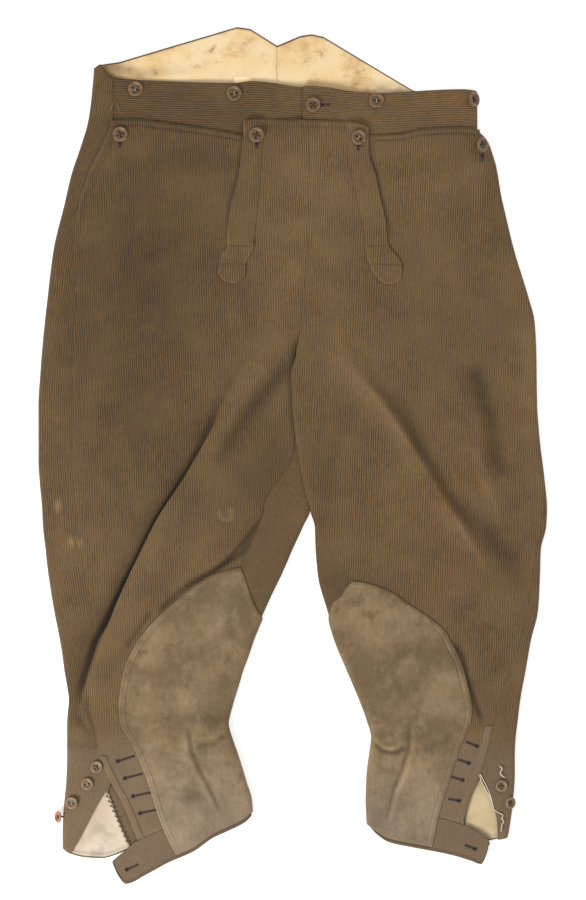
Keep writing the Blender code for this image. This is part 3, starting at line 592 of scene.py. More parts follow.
def cord_material(name):
    """Ribbed cord: a sine across the grain is the rib, broken by slubs and worn less plain in places,
    over a fine twill; its colour drifts from olive to plum and warm brown, and the grooves between
    the ribs are painted dark as shade."""
    at, shader, made = finish_of(name, 0.92, 0.12)
    grain = at.node("ShaderNodeUVMap", uv_map="grain")
    across, along = grain.along(0), grain.along(1)
    place = at.place()
    tone = at.worked("tone")
    ribs = at.worked("ribs")
    slub = at.noise(grain.stretched(420, 90), 1.0, 3)
    wander = at.noise(grain.stretched(60, 14), 1.0, 2)
    turn = (across + (wander - 0.5) * 1.1 * WALE) * (2 * math.pi / WALE)
    rib = turn.sine() * 0.5 + 0.5
    twill = ((across + along) * (2 * math.pi / (1.5 * MM))).sine()
    cloud = at.noise(place, 8.0, 4, 0.6)
    drift = at.noise(place, 24.0, 4, 0.65)
    blotch = at.noise(place, 55.0, 3, 0.6)
    fuzz = at.noise(place, 520.0, 3, 0.7)
    worn = at.noise(place, 17.0, 3, 0.6)
    depth = ribs * (0.34 + worn.step(0.36, 0.66) * 0.42)
    crest = (rib + (slub - 0.5) * 1.5).step(0.05, 0.80)
    tinted = at.mix(drift.step(0.32, 0.68), PLUM_BROWN, OLIVE)
    body = at.mix(cloud.step(0.50, 0.72) * 0.7, tinted, WARM_BROWN)
    body = at.mix(ribs.step(0.1, 0.75), KNEE_BROWN, body)
    ribbed = at.mix(1 - (1 - crest) * depth, GROOVE_SHADE, body)
    light = tone * (0.36 + cloud * 0.14 + blotch * 0.26 + fuzz * 0.76 + twill * 0.08)
    height = rib * ribs + fuzz * 0.5 + twill * 0.12
    wire(at, shader, ribbed.scaled(light), height, 0.5 * MM, 0.8)
    return made


cord = cord_material("olive_brown_cord")

FISHTAIL = (
    (-230, 430), (-215, 437), (-194, 440), (-80, 474), (-63, 479), (-48, 477),
    (-18, 458), (8, 469), (21, 471), (34, 468), (134, 408), (165, 404), (215, 401),
)
RIGHT_UNDER_HEM = (
    (-259, -439), (-251, -445), (-232, -450), (-214, -451), (-180, -440), (-46, -403),
)
LEFT_UNDER_HEM = (
    (84, -412), (154, -428), (200, -434), (219, -431), (237, -428), (245, -423),
)
# Where the cord wraps round the right end of the waist it slopes down to the waistband.
RIGHT_CORNER = ((-224, 430), (-220, 434), (-215, 437), (-211, 431), (-206, 425), (-200, 422))


def straight(points, x):
    """Height of an edge of the cloth at x, in metres, straight between its points."""
    px, py = np.array(points, float).T * MM
    return np.interp(x, px, py)


BACK_ROWS, BACK_COLUMNS = 200, 150


def back_of(half, under_hem):
    """Back: columns evenly along the skin from the outside seam to the inside seam, or to
    the centre back above the crotch. Its grain follows the outer edge, and is diagonal
    where it comes round the inside of the leg."""
    level = np.linspace(432, -438, BACK_ROWS)[:, None] * MM
    share = by_column(BACK_COLUMNS)
    share = share - 0.11 * np.sin(2 * np.pi * share)

    def loop(y):
        start = half.from_outer(read(half.sections, "back_seam", y) + UNDER, y)
        inseam = half.from_inner(read(half.sections, "inseam", y) + UNDER, y)
        closed = smooth((CROTCH - y) / CROTCH_CLOSES)
        end = np.where(closed < 1, 3 + closed / 2, 4 + inseam)
        begin, stop = half.length(start, y), half.length(end, y)
        return half.at_length(begin + (stop - begin) * share, y)

    def top(x):
        wrapped = (loop(level[:1]) < 1.4) & (half.side < 0)
        return np.where(wrapped, straight(RIGHT_CORNER, x), straight(FISHTAIL, x))

    y = bent(half, loop, level, top, lambda x: line(under_hem, x), (110 * MM, 70 * MM))
    at = loop(level)
    points = half.skin(at, y, 0)
    x = points[..., 0]
    seam = half.length(at, y) - half.length(at[:, :1], y)
    hidden = smooth((at - 1.9) / 0.2) * (1 - smooth((at - 3.6) / 0.3))
    ripple = 0.9 * MM * hidden * (1 + np.sin(31 * x - 17 * y) * np.sin(13 * x + 23 * y + 1)) / 2
    inseam = half.length(at[:, -1:], y) - half.length(at, y)
    sunk = bell(seam, 2) + bell(inseam, 2) * (at > 3.9)
    points[..., 2] += ripple - 0.2 * MM * sunk
    wrapped = at > 3.5
    across = half.length(at, y) - half.length(1.5, y)
    grain = joined(
        np.where(wrapped, (x - y * half.side) * 0.71, across),
        np.where(wrapped, (y + x * half.side) * 0.71, y),
    )
    shown = half.tone(half.flat_x(at, y), y)
    tone = np.where(hidden > 0.5, 0.95, shown) * np.where(wrapped, 0.82, 0.97)
    tone = tone * (1 - 0.06 * sunk)
    ribs = (0.25 + 0.75 * smooth((y + 345 * MM) / (75 * MM))) * np.where(wrapped, 0.75, 1)
    mesh = grid_mesh(points, grain, tone, half.side, ribs=ribs)
    cloth(half.side, "back", mesh, CORD, cord)


back_of(RIGHT, RIGHT_UNDER_HEM)
back_of(LEFT, LEFT_UNDER_HEM)

# ---------------------------------------------------------------- the fronts
# The fronts are the same cord with the ribs up and down, each cut in one with its half
# of the fall and slit beside it. Their tops are turned in and stitched, and button over
# the waistband; the upper part of the right outside seam is left open as a pocket.

RIGHT_FRONT_TOP = ((-230, 374), (-200, 374.5), (-178, 375), (-140, 371), (-104, 366), (-58, 358))
LEFT_FRONT_TOP = ((85, 357), (121, 359), (143, 364), (182, 366), (206, 364), (222, 356))
FALL_TOP = ((-54, 373), (-46, 375), (17, 374), (61, 372), (78, 369), (84, 365))
RIGHT_KNEE_BAND_TOP = ((-202, -453), (-189, -443), (-175, -431), (-46, -386))
LEFT_KNEE_BAND_TOP = ((84, -386), (191, -413), (216, -427), (219, -431))
RIGHT_SLIT = ((375, -46), (345, -47), (312, -50), (278, -55), (240, -60))
LEFT_SLIT = ((375, 73), (345, 73), (312, 80), (278, 87), (240, 93))
SLIT_END = 240 * MM
SEAM = 0.3 * MM
BAND = 2.0 * MM  # thickness of the doubled waistband
LAY_ON = 0.7 * MM  # how far a piece lies above the one under it
FRONT_ROWS, FALL_COLUMNS, SIDE_COLUMNS = 215, 42, 142


def lap(x):
    """Extra height where the left waistband laps over the right one."""
    rise = smooth((x + 8 * MM) / (17 * MM)) * (1 - smooth((x - 48 * MM) / (30 * MM)))
    return (BAND + SEAM) * rise


def over_band(x, y):
    """How far the fronts are lifted where the waistband lies under their tops."""
    return (BAND + LAY_ON + lap(x)) * smooth((y - 285 * MM) / (45 * MM))


def front_of(half, side_top, slit_line, band_top):
    """Front: columns from the centre front to the slit and on to the outside seam, crowded
    along the fold, with rows bent to the top edges and the hem."""
    level = np.linspace(372, -420, FRONT_ROWS)[:, None] * MM
    slit_share = (half.of_x(np.array([slit_line[-1][1] * MM]), SLIT_END)
                  / half.from_outer(read(half.sections, "front_seam", SLIT_END), SLIT_END))[0]

    def loop(y):
        closed = smooth((CROTCH - y) / CROTCH_CLOSES)
        inseam = half.from_inner(read(half.sections, "inseam", y), y)
        start = half.length(np.where(closed < 1, -closed / 2, inseam), y)
        outseam = half.from_outer(read(half.sections, "front_seam", y), y)
        end = half.length(outseam, y)
        slit = half.length(half.of_x(curve(slit_line, y / MM) * MM, y), y)
        at = np.where(y > SLIT_END, slit, start + (end - start) * slit_share)
        inner = np.linspace(0, 1, FALL_COLUMNS, endpoint=False)
        outer = np.linspace(0, 1, SIDE_COLUMNS)
        outer = np.concatenate([0 * inner, outer])[None, :]
        inner = np.concatenate([inner, np.ones(SIDE_COLUMNS)])[None, :]
        if half.fold:
            fold = half.length(half.of_x(read(half.fold, "x", y), y), y)
            middle = np.clip((fold - at) / (end - at), 0.14, 0.93)
            reach = 15 * MM / (end - at)
            low, high = np.maximum(middle - reach, 0.03), np.minimum(middle + reach, 0.985)
            outer = np.where(outer < 0.3, outer / 0.3 * low, np.where(
                outer < 0.66, low + (outer - 0.3) / 0.36 * (high - low),
                high + (outer - 0.66) / 0.34 * (1 - high)))
        return half.at_length(start + (at - start) * inner + (end - at) * outer, y)

    def top(x):
        fall = np.arange(x.shape[1])[None, :] <= FALL_COLUMNS
        return np.where(fall, line(FALL_TOP, x), line(side_top, x))

    y = bent(half, loop, level, top, lambda x: line(band_top, x) + 0.3 * MM, (60 * MM, 70 * MM))
    at = loop(y)
    x = half.skin(at, y, 0)[..., 0]
    points = half.skin(at, y, over_band(x, y))
    x = points[..., 0]
    seam = half.length(at[:, -1:], y) - half.length(at, y)
    inseam = half.length(at, y) - half.length(at[:, :1], y)
    drop = np.abs(y - y[:1])
    last = int((level > SLIT_END).sum())
    slit = np.abs(half.length(at, y) - half.length(at[:, FALL_COLUMNS:FALL_COLUMNS + 1], y))
    open_above = smooth((y - 250 * MM) / (20 * MM)) if half.side < 0 else 0 * y
    groove = -0.1 * bell(seam, 1.5) * (1 - open_above)
    groove = groove + 0.8 * open_above * bell(seam, 5)
    groove = groove - 0.1 * bell(inseam, 1.5)
    hem_line = -0.35 * bell(drop - 7 * MM, 1.3)
    pocket_line = -0.35 * open_above * bell(seam - 6 * MM, 1.2)
    turned = -0.9 * bell(drop, 1.2)
    points[..., 2] += (groove + hem_line + pocket_line + turned) * MM
    tone = half.tone(half.flat_x(at, y), y)
    # Painted shade in the stitched grooves below the turned top and beside the open pocket, and along
    # the slit at the strip's edge; the top edge, the side seam and the raised pocket edge are
    # lighter, the centre seam darker.
    for shade, where in (
        (-0.18, bell(drop - 7.5 * MM, 1.6)),
        (0.08, bell(drop, 3)),
        (0.05, bell(seam, 3) * (1 - open_above)),
        (0.20, bell(seam, 2.5) * open_above),
        (-0.18, bell(seam - 6.5 * MM, 1.6) * open_above),
        (-0.18, bell(inseam, 1.4) * np.where(y < CROTCH, 1, 0.22)),
        (-0.25, bell(slit, 2.5) * (y > SLIT_END)),
    ):
        tone = tone * (1 + shade * where)
    lean = 0.035 * half.side
    grain = joined(x - lean * y, y + lean * x)
    ribs = 0.20 + 0.80 * smooth((y + 345 * MM) / (75 * MM))
    mesh = grid_mesh(points, grain, tone, half.side, (FALL_COLUMNS, last), ribs)
    cloth(half.side, "front", mesh, CORD, cord)


front_of(RIGHT, RIGHT_FRONT_TOP, RIGHT_SLIT, RIGHT_KNEE_BAND_TOP)
front_of(LEFT, LEFT_FRONT_TOP, LEFT_SLIT, LEFT_KNEE_BAND_TOP)

# ---------------------------------------------------------------- the waistbands
# The front waistbands are doubled cord cut on its side, so that the ribs run level. The
# left one laps over the right one and goes round the side, where it joins the back.

RIGHT_BAND_TOP = ((-201, 422), (-185, 420), (-66, 416), (-47, 418), (12, 411), (42, 409))
LEFT_BAND_TOP = ((10, 411), (14, 412.5), (37, 411), (61, 407), (92, 405), (190, 409), (206, 407))
BAND_LOWER = 347 * MM
BAND_ROWS = 40


def by_row(count):
    """Shares from 0 at the first row of a grid to 1 at its last."""
    return np.linspace(0, 1, count)[:, None]


def band_of(side, x, z, top):
    """Waistband: level rows from its top edge to its lower edge, over a row of columns."""
    share = by_row(BAND_ROWS)
    x, z = x[None, :], z[None, :]
    upper = line(top, x)
    y = upper + (BAND_LOWER - upper) * share
    puff = 0.35 * MM * np.sin(140 * x + 2) * np.sin(60 * y) - 0.9 * MM * bell(upper - y, 1.2)
    points = joined(x, y, z + puff)
    free = np.abs(x - x[:, :1]) if side > 0 else np.abs(x - x[:, -1:])
    tone = 0.85 + 0.25 * smooth((x + 110 * MM) / (180 * MM)) + 0 * y
    tone = tone * (1 + 0.10 * bell(upper - y, 2))
    # Painted shade along the free end of the left band, where it laps over the right one.
    tone = tone * (1 - 0.30 * bell(free, 1.5) * (side > 0))
    grain = joined(y - 0.6 * (upper - upper.mean()), x + 0 * y)
    mesh = grid_mesh(points[:, ::side], grain[:, ::side], tone[:, ::side], side)
    cloth(side, "waistband", mesh, BAND, cord)


right_x = np.linspace(-200.7, 42, 180) * MM
band_of(-1, right_x, LAY + 0 * right_x, RIGHT_BAND_TOP)
band_edge = 205.5 * MM
left_flat = np.linspace(10, 200, 150) * MM
band_turn = np.radians(np.linspace(8, 84, 12))
band_of(
    1,
    np.concatenate([left_flat, band_edge - ROLL + ROLL * np.sin(band_turn)]),
    np.concatenate([LAY + lap(left_flat), LAY / 2 + LAY / 2 * np.cos(band_turn)]),
    LEFT_BAND_TOP,
)

# ---------------------------------------------------------------- the waist lining
# The raised back is lined with cream cotton twill, yellowed and spotted with rust, felled
# just inside the cord's edge. It shows above the front waistband.

RUST = (0.38, 0.18, 0.06, 1)


def cotton_material(name, pale, yellow, grey, spots):
    """Cotton: a fine diagonal twill, broad yellowing, a dirty haze and small spots."""
    at, shader, made = finish_of(name, 0.85, 0.08)
    place = at.place()
    tone = at.worked("tone")
    twill = ((place.along(0) + place.along(1)) * (2 * math.pi / (1.1 * MM))).sine()
    cloud = at.noise(place, 14.0, 4, 0.6)
    haze = at.noise(place, 34.0, 4, 0.65)
    fleck = at.noise(place, 85.0, 3, 0.6)
    aged = at.mix(cloud.step(0.40, 0.66), pale, yellow)
    hazy = at.mix(haze.step(0.46, 0.72) * 0.75, aged, grey)
    rusted = fleck.step(spots, spots + 0.22) * haze.step(0.40, 0.6) * 0.75
    body = at.mix(rusted, hazy, RUST).scaled(tone * (0.96 + haze * 0.08))
    wire(at, shader, body, twill * 0.4 + fleck, 0.25 * MM, 0.5)
    return made


waist_cotton = cotton_material("cream_waist_cotton", (0.98, 0.76, 0.45, 1), (0.92, 0.64, 0.31, 1),
                               (0.66, 0.40, 0.17, 1), 0.55)
COTTON = 1.0 * MM
WAIST_LINING_ROWS, WAIST_LINING_COLUMNS = 44, 110


def waist_lining_of(side, start, end):
    """Waist lining: rows from just inside the fishtail's edge down behind the waistband,
    with two soft folds where the garment's back has slid."""
    x = np.linspace(start, end, WAIST_LINING_COLUMNS)[None, :] * MM
    top = straight(FISHTAIL, x) - 1.6 * MM
    low = np.minimum(392 * MM, top - 4 * MM)
    y = top + (low - top) * by_row(WAIST_LINING_ROWS)
    z = CORD + SEAM + COTTON + 0 * y
    fold, share = near(x + 0 * y, y, ((-206, 430), (-170, 419), (-120, 425), (-70, 440)))
    z = z + 1.4 * MM * bell(fold, 7) * smooth((1 - share) / 0.4)
    z = z + 0.25 * MM * np.sin(70 * x + 40 * y)
    # Painted shade in two bands beside the raised fold.
    tone = 1 - 0.30 * bell(fold - 7 * MM, 7) * smooth((0.75 - share) / 0.5)
    centre, _ = near(x + 0 * y, y, ((-18, 460), (-16, 390)))
    tone = tone * (1 - 0.04 * bell(centre, 1.5))
    # Painted shade in the corner at the right end, and along the lower part above the waistband.
    corner = np.hypot(x + 206 * MM, y - 428 * MM)
    tone = tone * (1 - 0.45 * bell(corner, 14))
    tone = tone * (1 - 0.18 * bell(np.maximum(y - 414 * MM, 0), 5))
    tone = tone * np.where((np.abs(x + 57 * MM) < 9 * MM) & (y < 422 * MM), 1.5, 1)
    points = joined(x, y, z)
    grain = joined(x, y)
    mesh = grid_mesh(points, grain, tone, 1)
    cloth(side, "waist_lining", mesh, COTTON, waist_cotton)


waist_lining_of(-1, -216, -18.05)
waist_lining_of(1, -17.95, 140)

# ---------------------------------------------------------------- the fall strips
# A long strip of cord finishes each slit of the fall. It is stitched down along both
# edges, laps over the slit, and ends below it in a round tab with two rows of stitches.

RIGHT_STRIP = (
    ("y", "outer", "inner"),
    (373, -55, -31), (346, -57, -34), (313, -61, -36), (278, -70, -39), (246, -74, -43),
    (234, -74, -44), (224, -81, -48), (214, -83, -53), (204, -84, -53), (196, -79, -58),
    (192, -71, -64),
)
LEFT_STRIP = (
    ("y", "outer", "inner"),
    (368, 84, 58), (336, 85, 60), (314, 92, 64), (291, 97, 69), (258, 104, 77),
    (236, 106, 81), (222, 116, 82), (214, 121, 85), (206, 122, 88), (196, 120, 96),
    (191, 111, 102),
)
STRIP_ROWS, STRIP_COLUMNS = 160, 22
STITCHED_IN = 3.2 * MM  # from the strip's edge to its row of stitches


def strip_of(half, table):
    """Fall strip: columns from its stitched inner edge to its free outer edge, and rows
    from the top of the fall to the round end of the tab."""
    y = np.linspace(372, table[-1][0], STRIP_ROWS)[:, None] * MM
    share = by_column(STRIP_COLUMNS)
    inner, outer = read(table, "inner", y), read(table, "outer", y)
    x = inner + (outer - inner) * share
    y = y + 0 * x
    rise = smooth((y - 350 * MM) / (22 * MM))
    y = y + (line(FALL_TOP, x) - 0.5 * MM - 372 * MM) * rise
    below = smooth((246 * MM - y) / (14 * MM))
    proud = np.maximum(smooth(share / 0.35), below)
    edge = np.minimum(share, 1 - share) * np.abs(outer - inner)
    down = y - table[-1][0] * MM
    edge = np.minimum(edge, np.where(below > 0.5, down, 1))
    eased = -0.8 * MM * bell(edge, 1.2)
    lift = over_band(x, y) + 0.1 * MM + (LAY_ON + CORD - 0.1 * MM) * proud + eased * proud
    row = bell(y - 213 * MM, 1.1) + bell(y - 234 * MM, 1)
    sewn = bell(edge - STITCHED_IN, 1.0)
    lift = lift - 0.45 * MM * row - 0.2 * MM * sewn * proud
    points = half.skin(half.of_x(x, y), y, lift)
    # The two stitched rows across the tab are painted darker as shade in their grooves.
    tone = half.tone(x, y) * (1 + 0.10 * below) * (1 - 0.26 * row)
    tone = tone * (1 - 0.04 * np.exp(-(((share - 0.02) / 0.05) ** 2)) * (1 - below))
    tone = tone * (1 + 0.30 * bell(edge, 2) * proud)
    grain = joined(x - 0.035 * half.side * y, y)
    mesh = grid_mesh(points, grain, tone, half.side)
    cloth(half.side, "fall_strip", mesh, CORD, cord)


strip_of(RIGHT, RIGHT_STRIP)
strip_of(LEFT, LEFT_STRIP)

# ---------------------------------------------------------------- the knee patches
# Brushed suede patches cover the inside of each knee and turn a little way under. They
# are lapped on the cord with two rows of stitching, pinched by a dart below the knee,
# creased across it, scuffed grey and greasy with use.

RIGHT_PATCH = (
    ("y", "front", "back"),
    (-125, -61, 50), (-134, -91, 42), (-144, -108, 34), (-156, -123, 24), (-169, -138, 12.5),
    (-178, -148, 4), (-186, -156, -3), (-199, -167, -9), (-208, -174, -14), (-244, -190, -26),
    (-283, -195, -34), (-300, -193, -36), (-323, -180, -36), (-353, -167, -36), (-399, -149, -36),
    (-440, -131, -36),
)
LEFT_PATCH = (
    ("y", "front", "back"),
    (-141, 72, 38), (-147, 96, 30), (-156, 115, 22), (-166, 128, 8), (-171, 136, 5),
    (-184, 155, 0), (-198, 171, -5), (-208, 176, -12), (-232, 188, -24), (-266, 197, -34),
    (-283, 200, -36), (-294, 199, -36), (-326, 187, -36), (-356, 177, -36), (-398, 163, -36),
    (-435, 155, -36),
)
RIGHT_HEM = (
    (-202, -456), (-195, -471), (-187, -479), (-163, -468), (-139, -455),
    (-112, -443), (-89, -427), (-76, -421), (-54, -410), (-46, -403),
)
LEFT_HEM = (
    (84, -413), (93, -423), (107, -432), (129, -437), (150, -441), (178, -447),
    (198, -453), (210, -457), (216, -446), (219, -434),
)
# Relief of the suede: height, lighter or darker (mostly painted highlight on the ridges and painted
# shade in the creases), width, and the line it follows.
RIGHT_CREASED = (
    (0.9, 0.22, 3, ((-122, -296), (-120, -322), (-116, -339), (-107, -357), (-99, -372),
                    (-82, -402))),
    (-1.0, -0.38, 2.2, ((-118, -300), (-113, -330), (-104, -352), (-95, -368), (-78, -404))),
    (0.9, 0.20, 2.5, ((-75, -304), (-87, -313), (-104, -317))),
    (-1.0, -0.30, 3, ((-75, -311), (-88, -321), (-108, -324))),
    (0.0, -0.22, 9, ((-130, -285), (-140, -296), (-148, -304))),
    (0.0, -0.20, 7, ((-105, -290), (-88, -296), (-78, -300))),
    (0.0, 0.12, 7, ((-122, -232), (-124, -262), (-122, -290))),
    (0.5, 0.06, 9, ((-100, -160), (-88, -200), (-90, -240))),
    (-0.5, -0.12, 6, ((-80, -165), (-70, -190), (-62, -215))),
)
LEFT_CREASED = (
    (1.2, 0.30, 2.8, ((134, -292), (135, -320), (130, -343), (124, -360), (115, -378), (110, -402),
                    (106, -414))),
    (-0.9, -0.40, 2, ((128, -296), (129, -325), (121, -350), (112, -372), (104, -410))),
    (1.2, 0.24, 2.8, ((90, -314), (98, -324), (110, -327), (126, -318))),
    (-1.4, -0.52, 2.5, ((90, -320), (100, -330), (113, -332), (126, -325))),
    (0.7, 0.10, 4, ((142, -322), (160, -313), (182, -300))),
    (-0.7, -0.16, 4, ((144, -330), (162, -322), (180, -312))),
    (-0.7, -0.20, 4, ((92, -346), (104, -350), (120, -352))),
    (0.0, 0.10, 6, ((98, -338), (110, -342), (122, -342))),
    (0.4, 0.05, 10, ((90, -160), (100, -200), (120, -240))),
)
RIGHT_MARKS = (
    (-112, -380, 12, 7, -0.36), (-118, -372, 7, 5, -0.14), (-118, -388, 6, 4, -0.14),
    (-130, -292, 22, 14, -0.18), (-86, -295, 16, 10, -0.14), (-90, -180, 20, 12, 0.06),
    (-165, -250, 12, 40, 0.05), (-110, -340, 20, 20, 0.04), (-100, -225, 26, 20, -0.06),
    (-70, -255, 14, 24, -0.06), (-98, -398, 9, 6, -0.12), (-155, -330, 8, 24, 0.06),
)
LEFT_MARKS = (
    (108, -270, 24, 18, -0.12), (150, -260, 18, 20, -0.05), (92, -185, 16, 12, 0.06),
    (150, -225, 26, 12, -0.10), (120, -215, 14, 16, -0.12), (150, -365, 22, 30, 0.08),
    (100, -385, 14, 20, 0.04), (105, -300, 12, 8, -0.10), (170, -290, 12, 16, 0.03),
)

DARK_NAP = (0.156, 0.108, 0.054, 1)
TAN_NAP = (0.262, 0.177, 0.090, 1)
GREY_NAP = (0.250, 0.188, 0.118, 1)
GREASY_NAP = (0.182, 0.114, 0.058, 1)
LOWER_NAP = (0.225, 0.183, 0.143, 1)


def suede_material(name):
    """Brushed suede: a cloudy nap from tan to grey, greasy and reddened places, greyer
    below the knee, with short brush streaks and a fine tooth."""
    at, shader, made = finish_of(name, 0.90, 0.12)
    place = at.place()
    tone = at.worked("tone")
    cloud = at.noise(place, 15.0, 5, 0.66)
    patchy = at.noise(place, 44.0, 4, 0.66)
    brushed = at.noise(place.stretched(210, 60), 1.0, 4, 0.6)
    tooth = at.noise(place, 620.0, 3, 0.7)
    nap = at.mix(cloud.step(0.36, 0.66), DARK_NAP, TAN_NAP)
    greyed = at.mix(patchy.step(0.50, 0.72) * 0.65, nap, GREY_NAP)
    rubbed = at.mix(patchy.step(0.30, 0.46), GREASY_NAP, greyed)
    above_calf = place.along(1).step(-0.41, -0.31)
    rubbed = at.mix(0.4 - above_calf * 0.4, rubbed, LOWER_NAP)
    light = tone * (0.28 + patchy * 0.44 + brushed * 0.46 + tooth * 0.56)
    wire(at, shader, rubbed.scaled(light), tooth * 0.8 + brushed, 0.6 * MM, 0.6)
    return made


suede = suede_material("brushed_suede")
PATCH_ROWS, PATCH_COLUMNS = 180, 100
SUEDE = 1.4 * MM
PATCH_LIFT = 2.2 * MM  # how far the suede stands above the leg's skin


def patch_grid(half, table, hem, rows):
    """Loop coordinates and heights of a patch: from its front edge, over the inside of the
    leg and under it, with the last row on the hem. Columns crowd near its two edges."""
    y = np.linspace(table[1][0], table[-1][0], rows)[:, None] * MM
    front = half.of_x(read(table, "front", y), y)
    back = half.from_inner(read(table, "back", y), y)
    share = by_column(PATCH_COLUMNS)
    share = share - 0.11 * np.sin(2 * np.pi * share)
    near_end, far_end = half.length(back, y), half.length(front, y)
    loop = half.at_length(near_end + (far_end - near_end) * share, y)
    x = half.skin(loop, y, 0)[..., 0]
    down = smooth((y[-1] + 90 * MM - y) / (90 * MM))
    return loop, y + (line(hem, x) + 5 * MM - y[-1]) * down


def patch_of(half, table, hem, lines, marks):
    """Knee patch: its skin stands proud of the cord, sinks along two rows of stitches and eases down
    at its edges; the rows of stitches are painted darker as shade, and its border is rubbed paler."""
    loop, y = patch_grid(half, table, hem, PATCH_ROWS)
    x = half.skin(loop, y, 0)[..., 0]
    run = half.length(loop, y)
    edge = np.minimum(run[:, -1:] - run, run - run[:, :1])
    slope = np.gradient(read(table, "front", y[:, -1]), y[:, -1])[:, None]
    edge = np.minimum(edge, (run[:, -1:] - run) / np.sqrt(1 + slope**2))
    edge = np.minimum(edge, np.abs(y - y[:1]) + (x - x[:1, -1:]) * 0)
    rows = sum(bell(edge - far * MM, 0.9) for far in (2.4, 7.2))
    hem_row = bell(y - y[-1:] - 9 * MM, 0.9)
    relief, tone = creased(x, y, lines, 0.12)
    rows = rows * (0.45 + 0.55 * smooth((y + 275 * MM) / (30 * MM)))
    eased = -1.0 * MM * bell(edge, 1.1)
    roll = 0.15 * MM * bell(edge - 4.8 * MM, 1.9)
    lift = PATCH_LIFT + relief * (loop > 0) + eased + roll - 0.2 * MM * (rows + hem_row)
    points = half.skin(loop, y, lift)
    tone = tone * (0.95 + (0.15 if half.side < 0 else 0.08) * smooth((-320 * MM - y) / (60 * MM)))
    tone = tone * shade_and_soil(x, y, marks)
    tone = tone * (1 - 0.06 * (rows + hem_row)) * (1 + 0.12 * bell(edge, 5))
    grain = joined(run, y)
    mesh = grid_mesh(points, grain, tone, half.side)
    cloth(half.side, "knee_patch", mesh, SUEDE, suede)


patch_of(RIGHT, RIGHT_PATCH, RIGHT_HEM, RIGHT_CREASED, RIGHT_MARKS)
patch_of(LEFT, LEFT_PATCH, LEFT_HEM, LEFT_CREASED, LEFT_MARKS)

# ---------------------------------------------------------------- the knee bands
# The hem of each knee is a narrow band of cord, bound along its lower edge and carried
# past the opening as a tab with a buttonhole.

KNEE_BAND_ROWS, KNEE_BAND_COLUMNS = 28, 120


def knee_band_of(half, top, hem):
    """Knee band: rows from the leg's lower edge to the hem, columns from the inner roll to
    the end of the tab; its lower edge is bound and darker."""
    tab = (hem[0] if half.side < 0 else hem[-1])[0] * MM
    share = by_row(KNEE_BAND_ROWS)
    y = np.full((KNEE_BAND_ROWS, 1), (top[-1] if half.side < 0 else top[0])[1] * MM)
    for _ in range(4):
        start = half.from_inner(0.5 * MM, y)
        begin, stop = half.length(start, y), half.length(half.of_x(tab, y), y)
        run = by_column(KNEE_BAND_COLUMNS)
        loop = half.at_length(begin + (stop - begin) * run, y)
        x = half.skin(loop, y, 0)[..., 0]
        upper = line(top, x)
        y = upper + (line(hem, x) - upper) * share
    up = y - y[-1:]
    end = np.abs(x - x[:, -1:])
    edge = np.minimum(up, end)
    bound = smooth((4.2 * MM - up) / (1.2 * MM))
    lift = 0.5 * MM * bound - 0.9 * MM * bell(edge, 1.0)
    lift = lift - 0.4 * MM * bell(up - 4.6 * MM, 0.9)
    tone = (0.92 - 0.22 * bound) * (1 + 0.10 * bell(edge, 1.5))
    grain = joined(x * 0.8 + y * 0.6 * half.side, y * 0.8 - x * 0.6 * half.side)
    mesh = grid_mesh(half.skin(loop, y, lift), grain, tone + 0 * x, half.side, ribs=0.12)
    cloth(half.side, "knee_band", mesh, CORD, cord)


knee_band_of(RIGHT, RIGHT_KNEE_BAND_TOP, RIGHT_HEM)
knee_band_of(LEFT, LEFT_KNEE_BAND_TOP, LEFT_HEM)

# ---------------------------------------------------------------- the knee plackets
# The front edge of each knee opening is turned back in a narrow strip of cord, its ribs
# slanting, which carries the knee buttonholes.

PLACKET_ROWS, PLACKET_COLUMNS = 60, 12
PLACKET_WIDTH = 8.5 * MM


def placket_of(half, start, end):
    """Placket: a strip of the skin along the front edge, a cloth's thickness proud."""
    y = np.linspace(start, end, PLACKET_ROWS)[:, None] * MM
    edge = read(half.sections, "front_seam", y) + SEAM
    across = np.linspace(1, 0, PLACKET_COLUMNS)[None, :]
    distance = edge + PLACKET_WIDTH * across
    from_edge = np.minimum(across, 1 - across) * PLACKET_WIDTH
    lift = 0.9 * MM - 0.6 * MM * bell(from_edge, 1) - 0.2 * MM * (across > 0.99)
    loop = half.from_outer(distance, y)
    points = half.skin(loop, y, lift + 0 * loop)
    x = points[..., 0]
    tone = 1.04 + 0.05 * bell(from_edge, 1.4) + 0 * x
    grain = joined(x * 0.75 - y * 0.66 * half.side, y * 0.75 + x * 0.66 * half.side)
    mesh = grid_mesh(points, grain, tone, half.side, ribs=0.22)
    cloth(half.side, "placket", mesh, CORD, cord)


placket_of(RIGHT, -336, -428)
placket_of(LEFT, -302, -410)

# ---------------------------------------------------------------- the knee linings
# Cream cotton lines each knee and shows in the open placket. The right one is edged with
# zigzag stitching; the left one is yellower.

pale_cotton = cotton_material("pale_knee_cotton", (0.68, 0.57, 0.45, 1), (0.58, 0.46, 0.32, 1),
                              (0.38, 0.31, 0.22, 1), 0.62)
yellow_cotton = cotton_material("yellowed_knee_cotton", (0.62, 0.49, 0.29, 1),
                                (0.52, 0.39, 0.20, 1), (0.36, 0.28, 0.16, 1), 0.68)
KNEE_LINING_ROWS, KNEE_LINING_COLUMNS = 36, 30


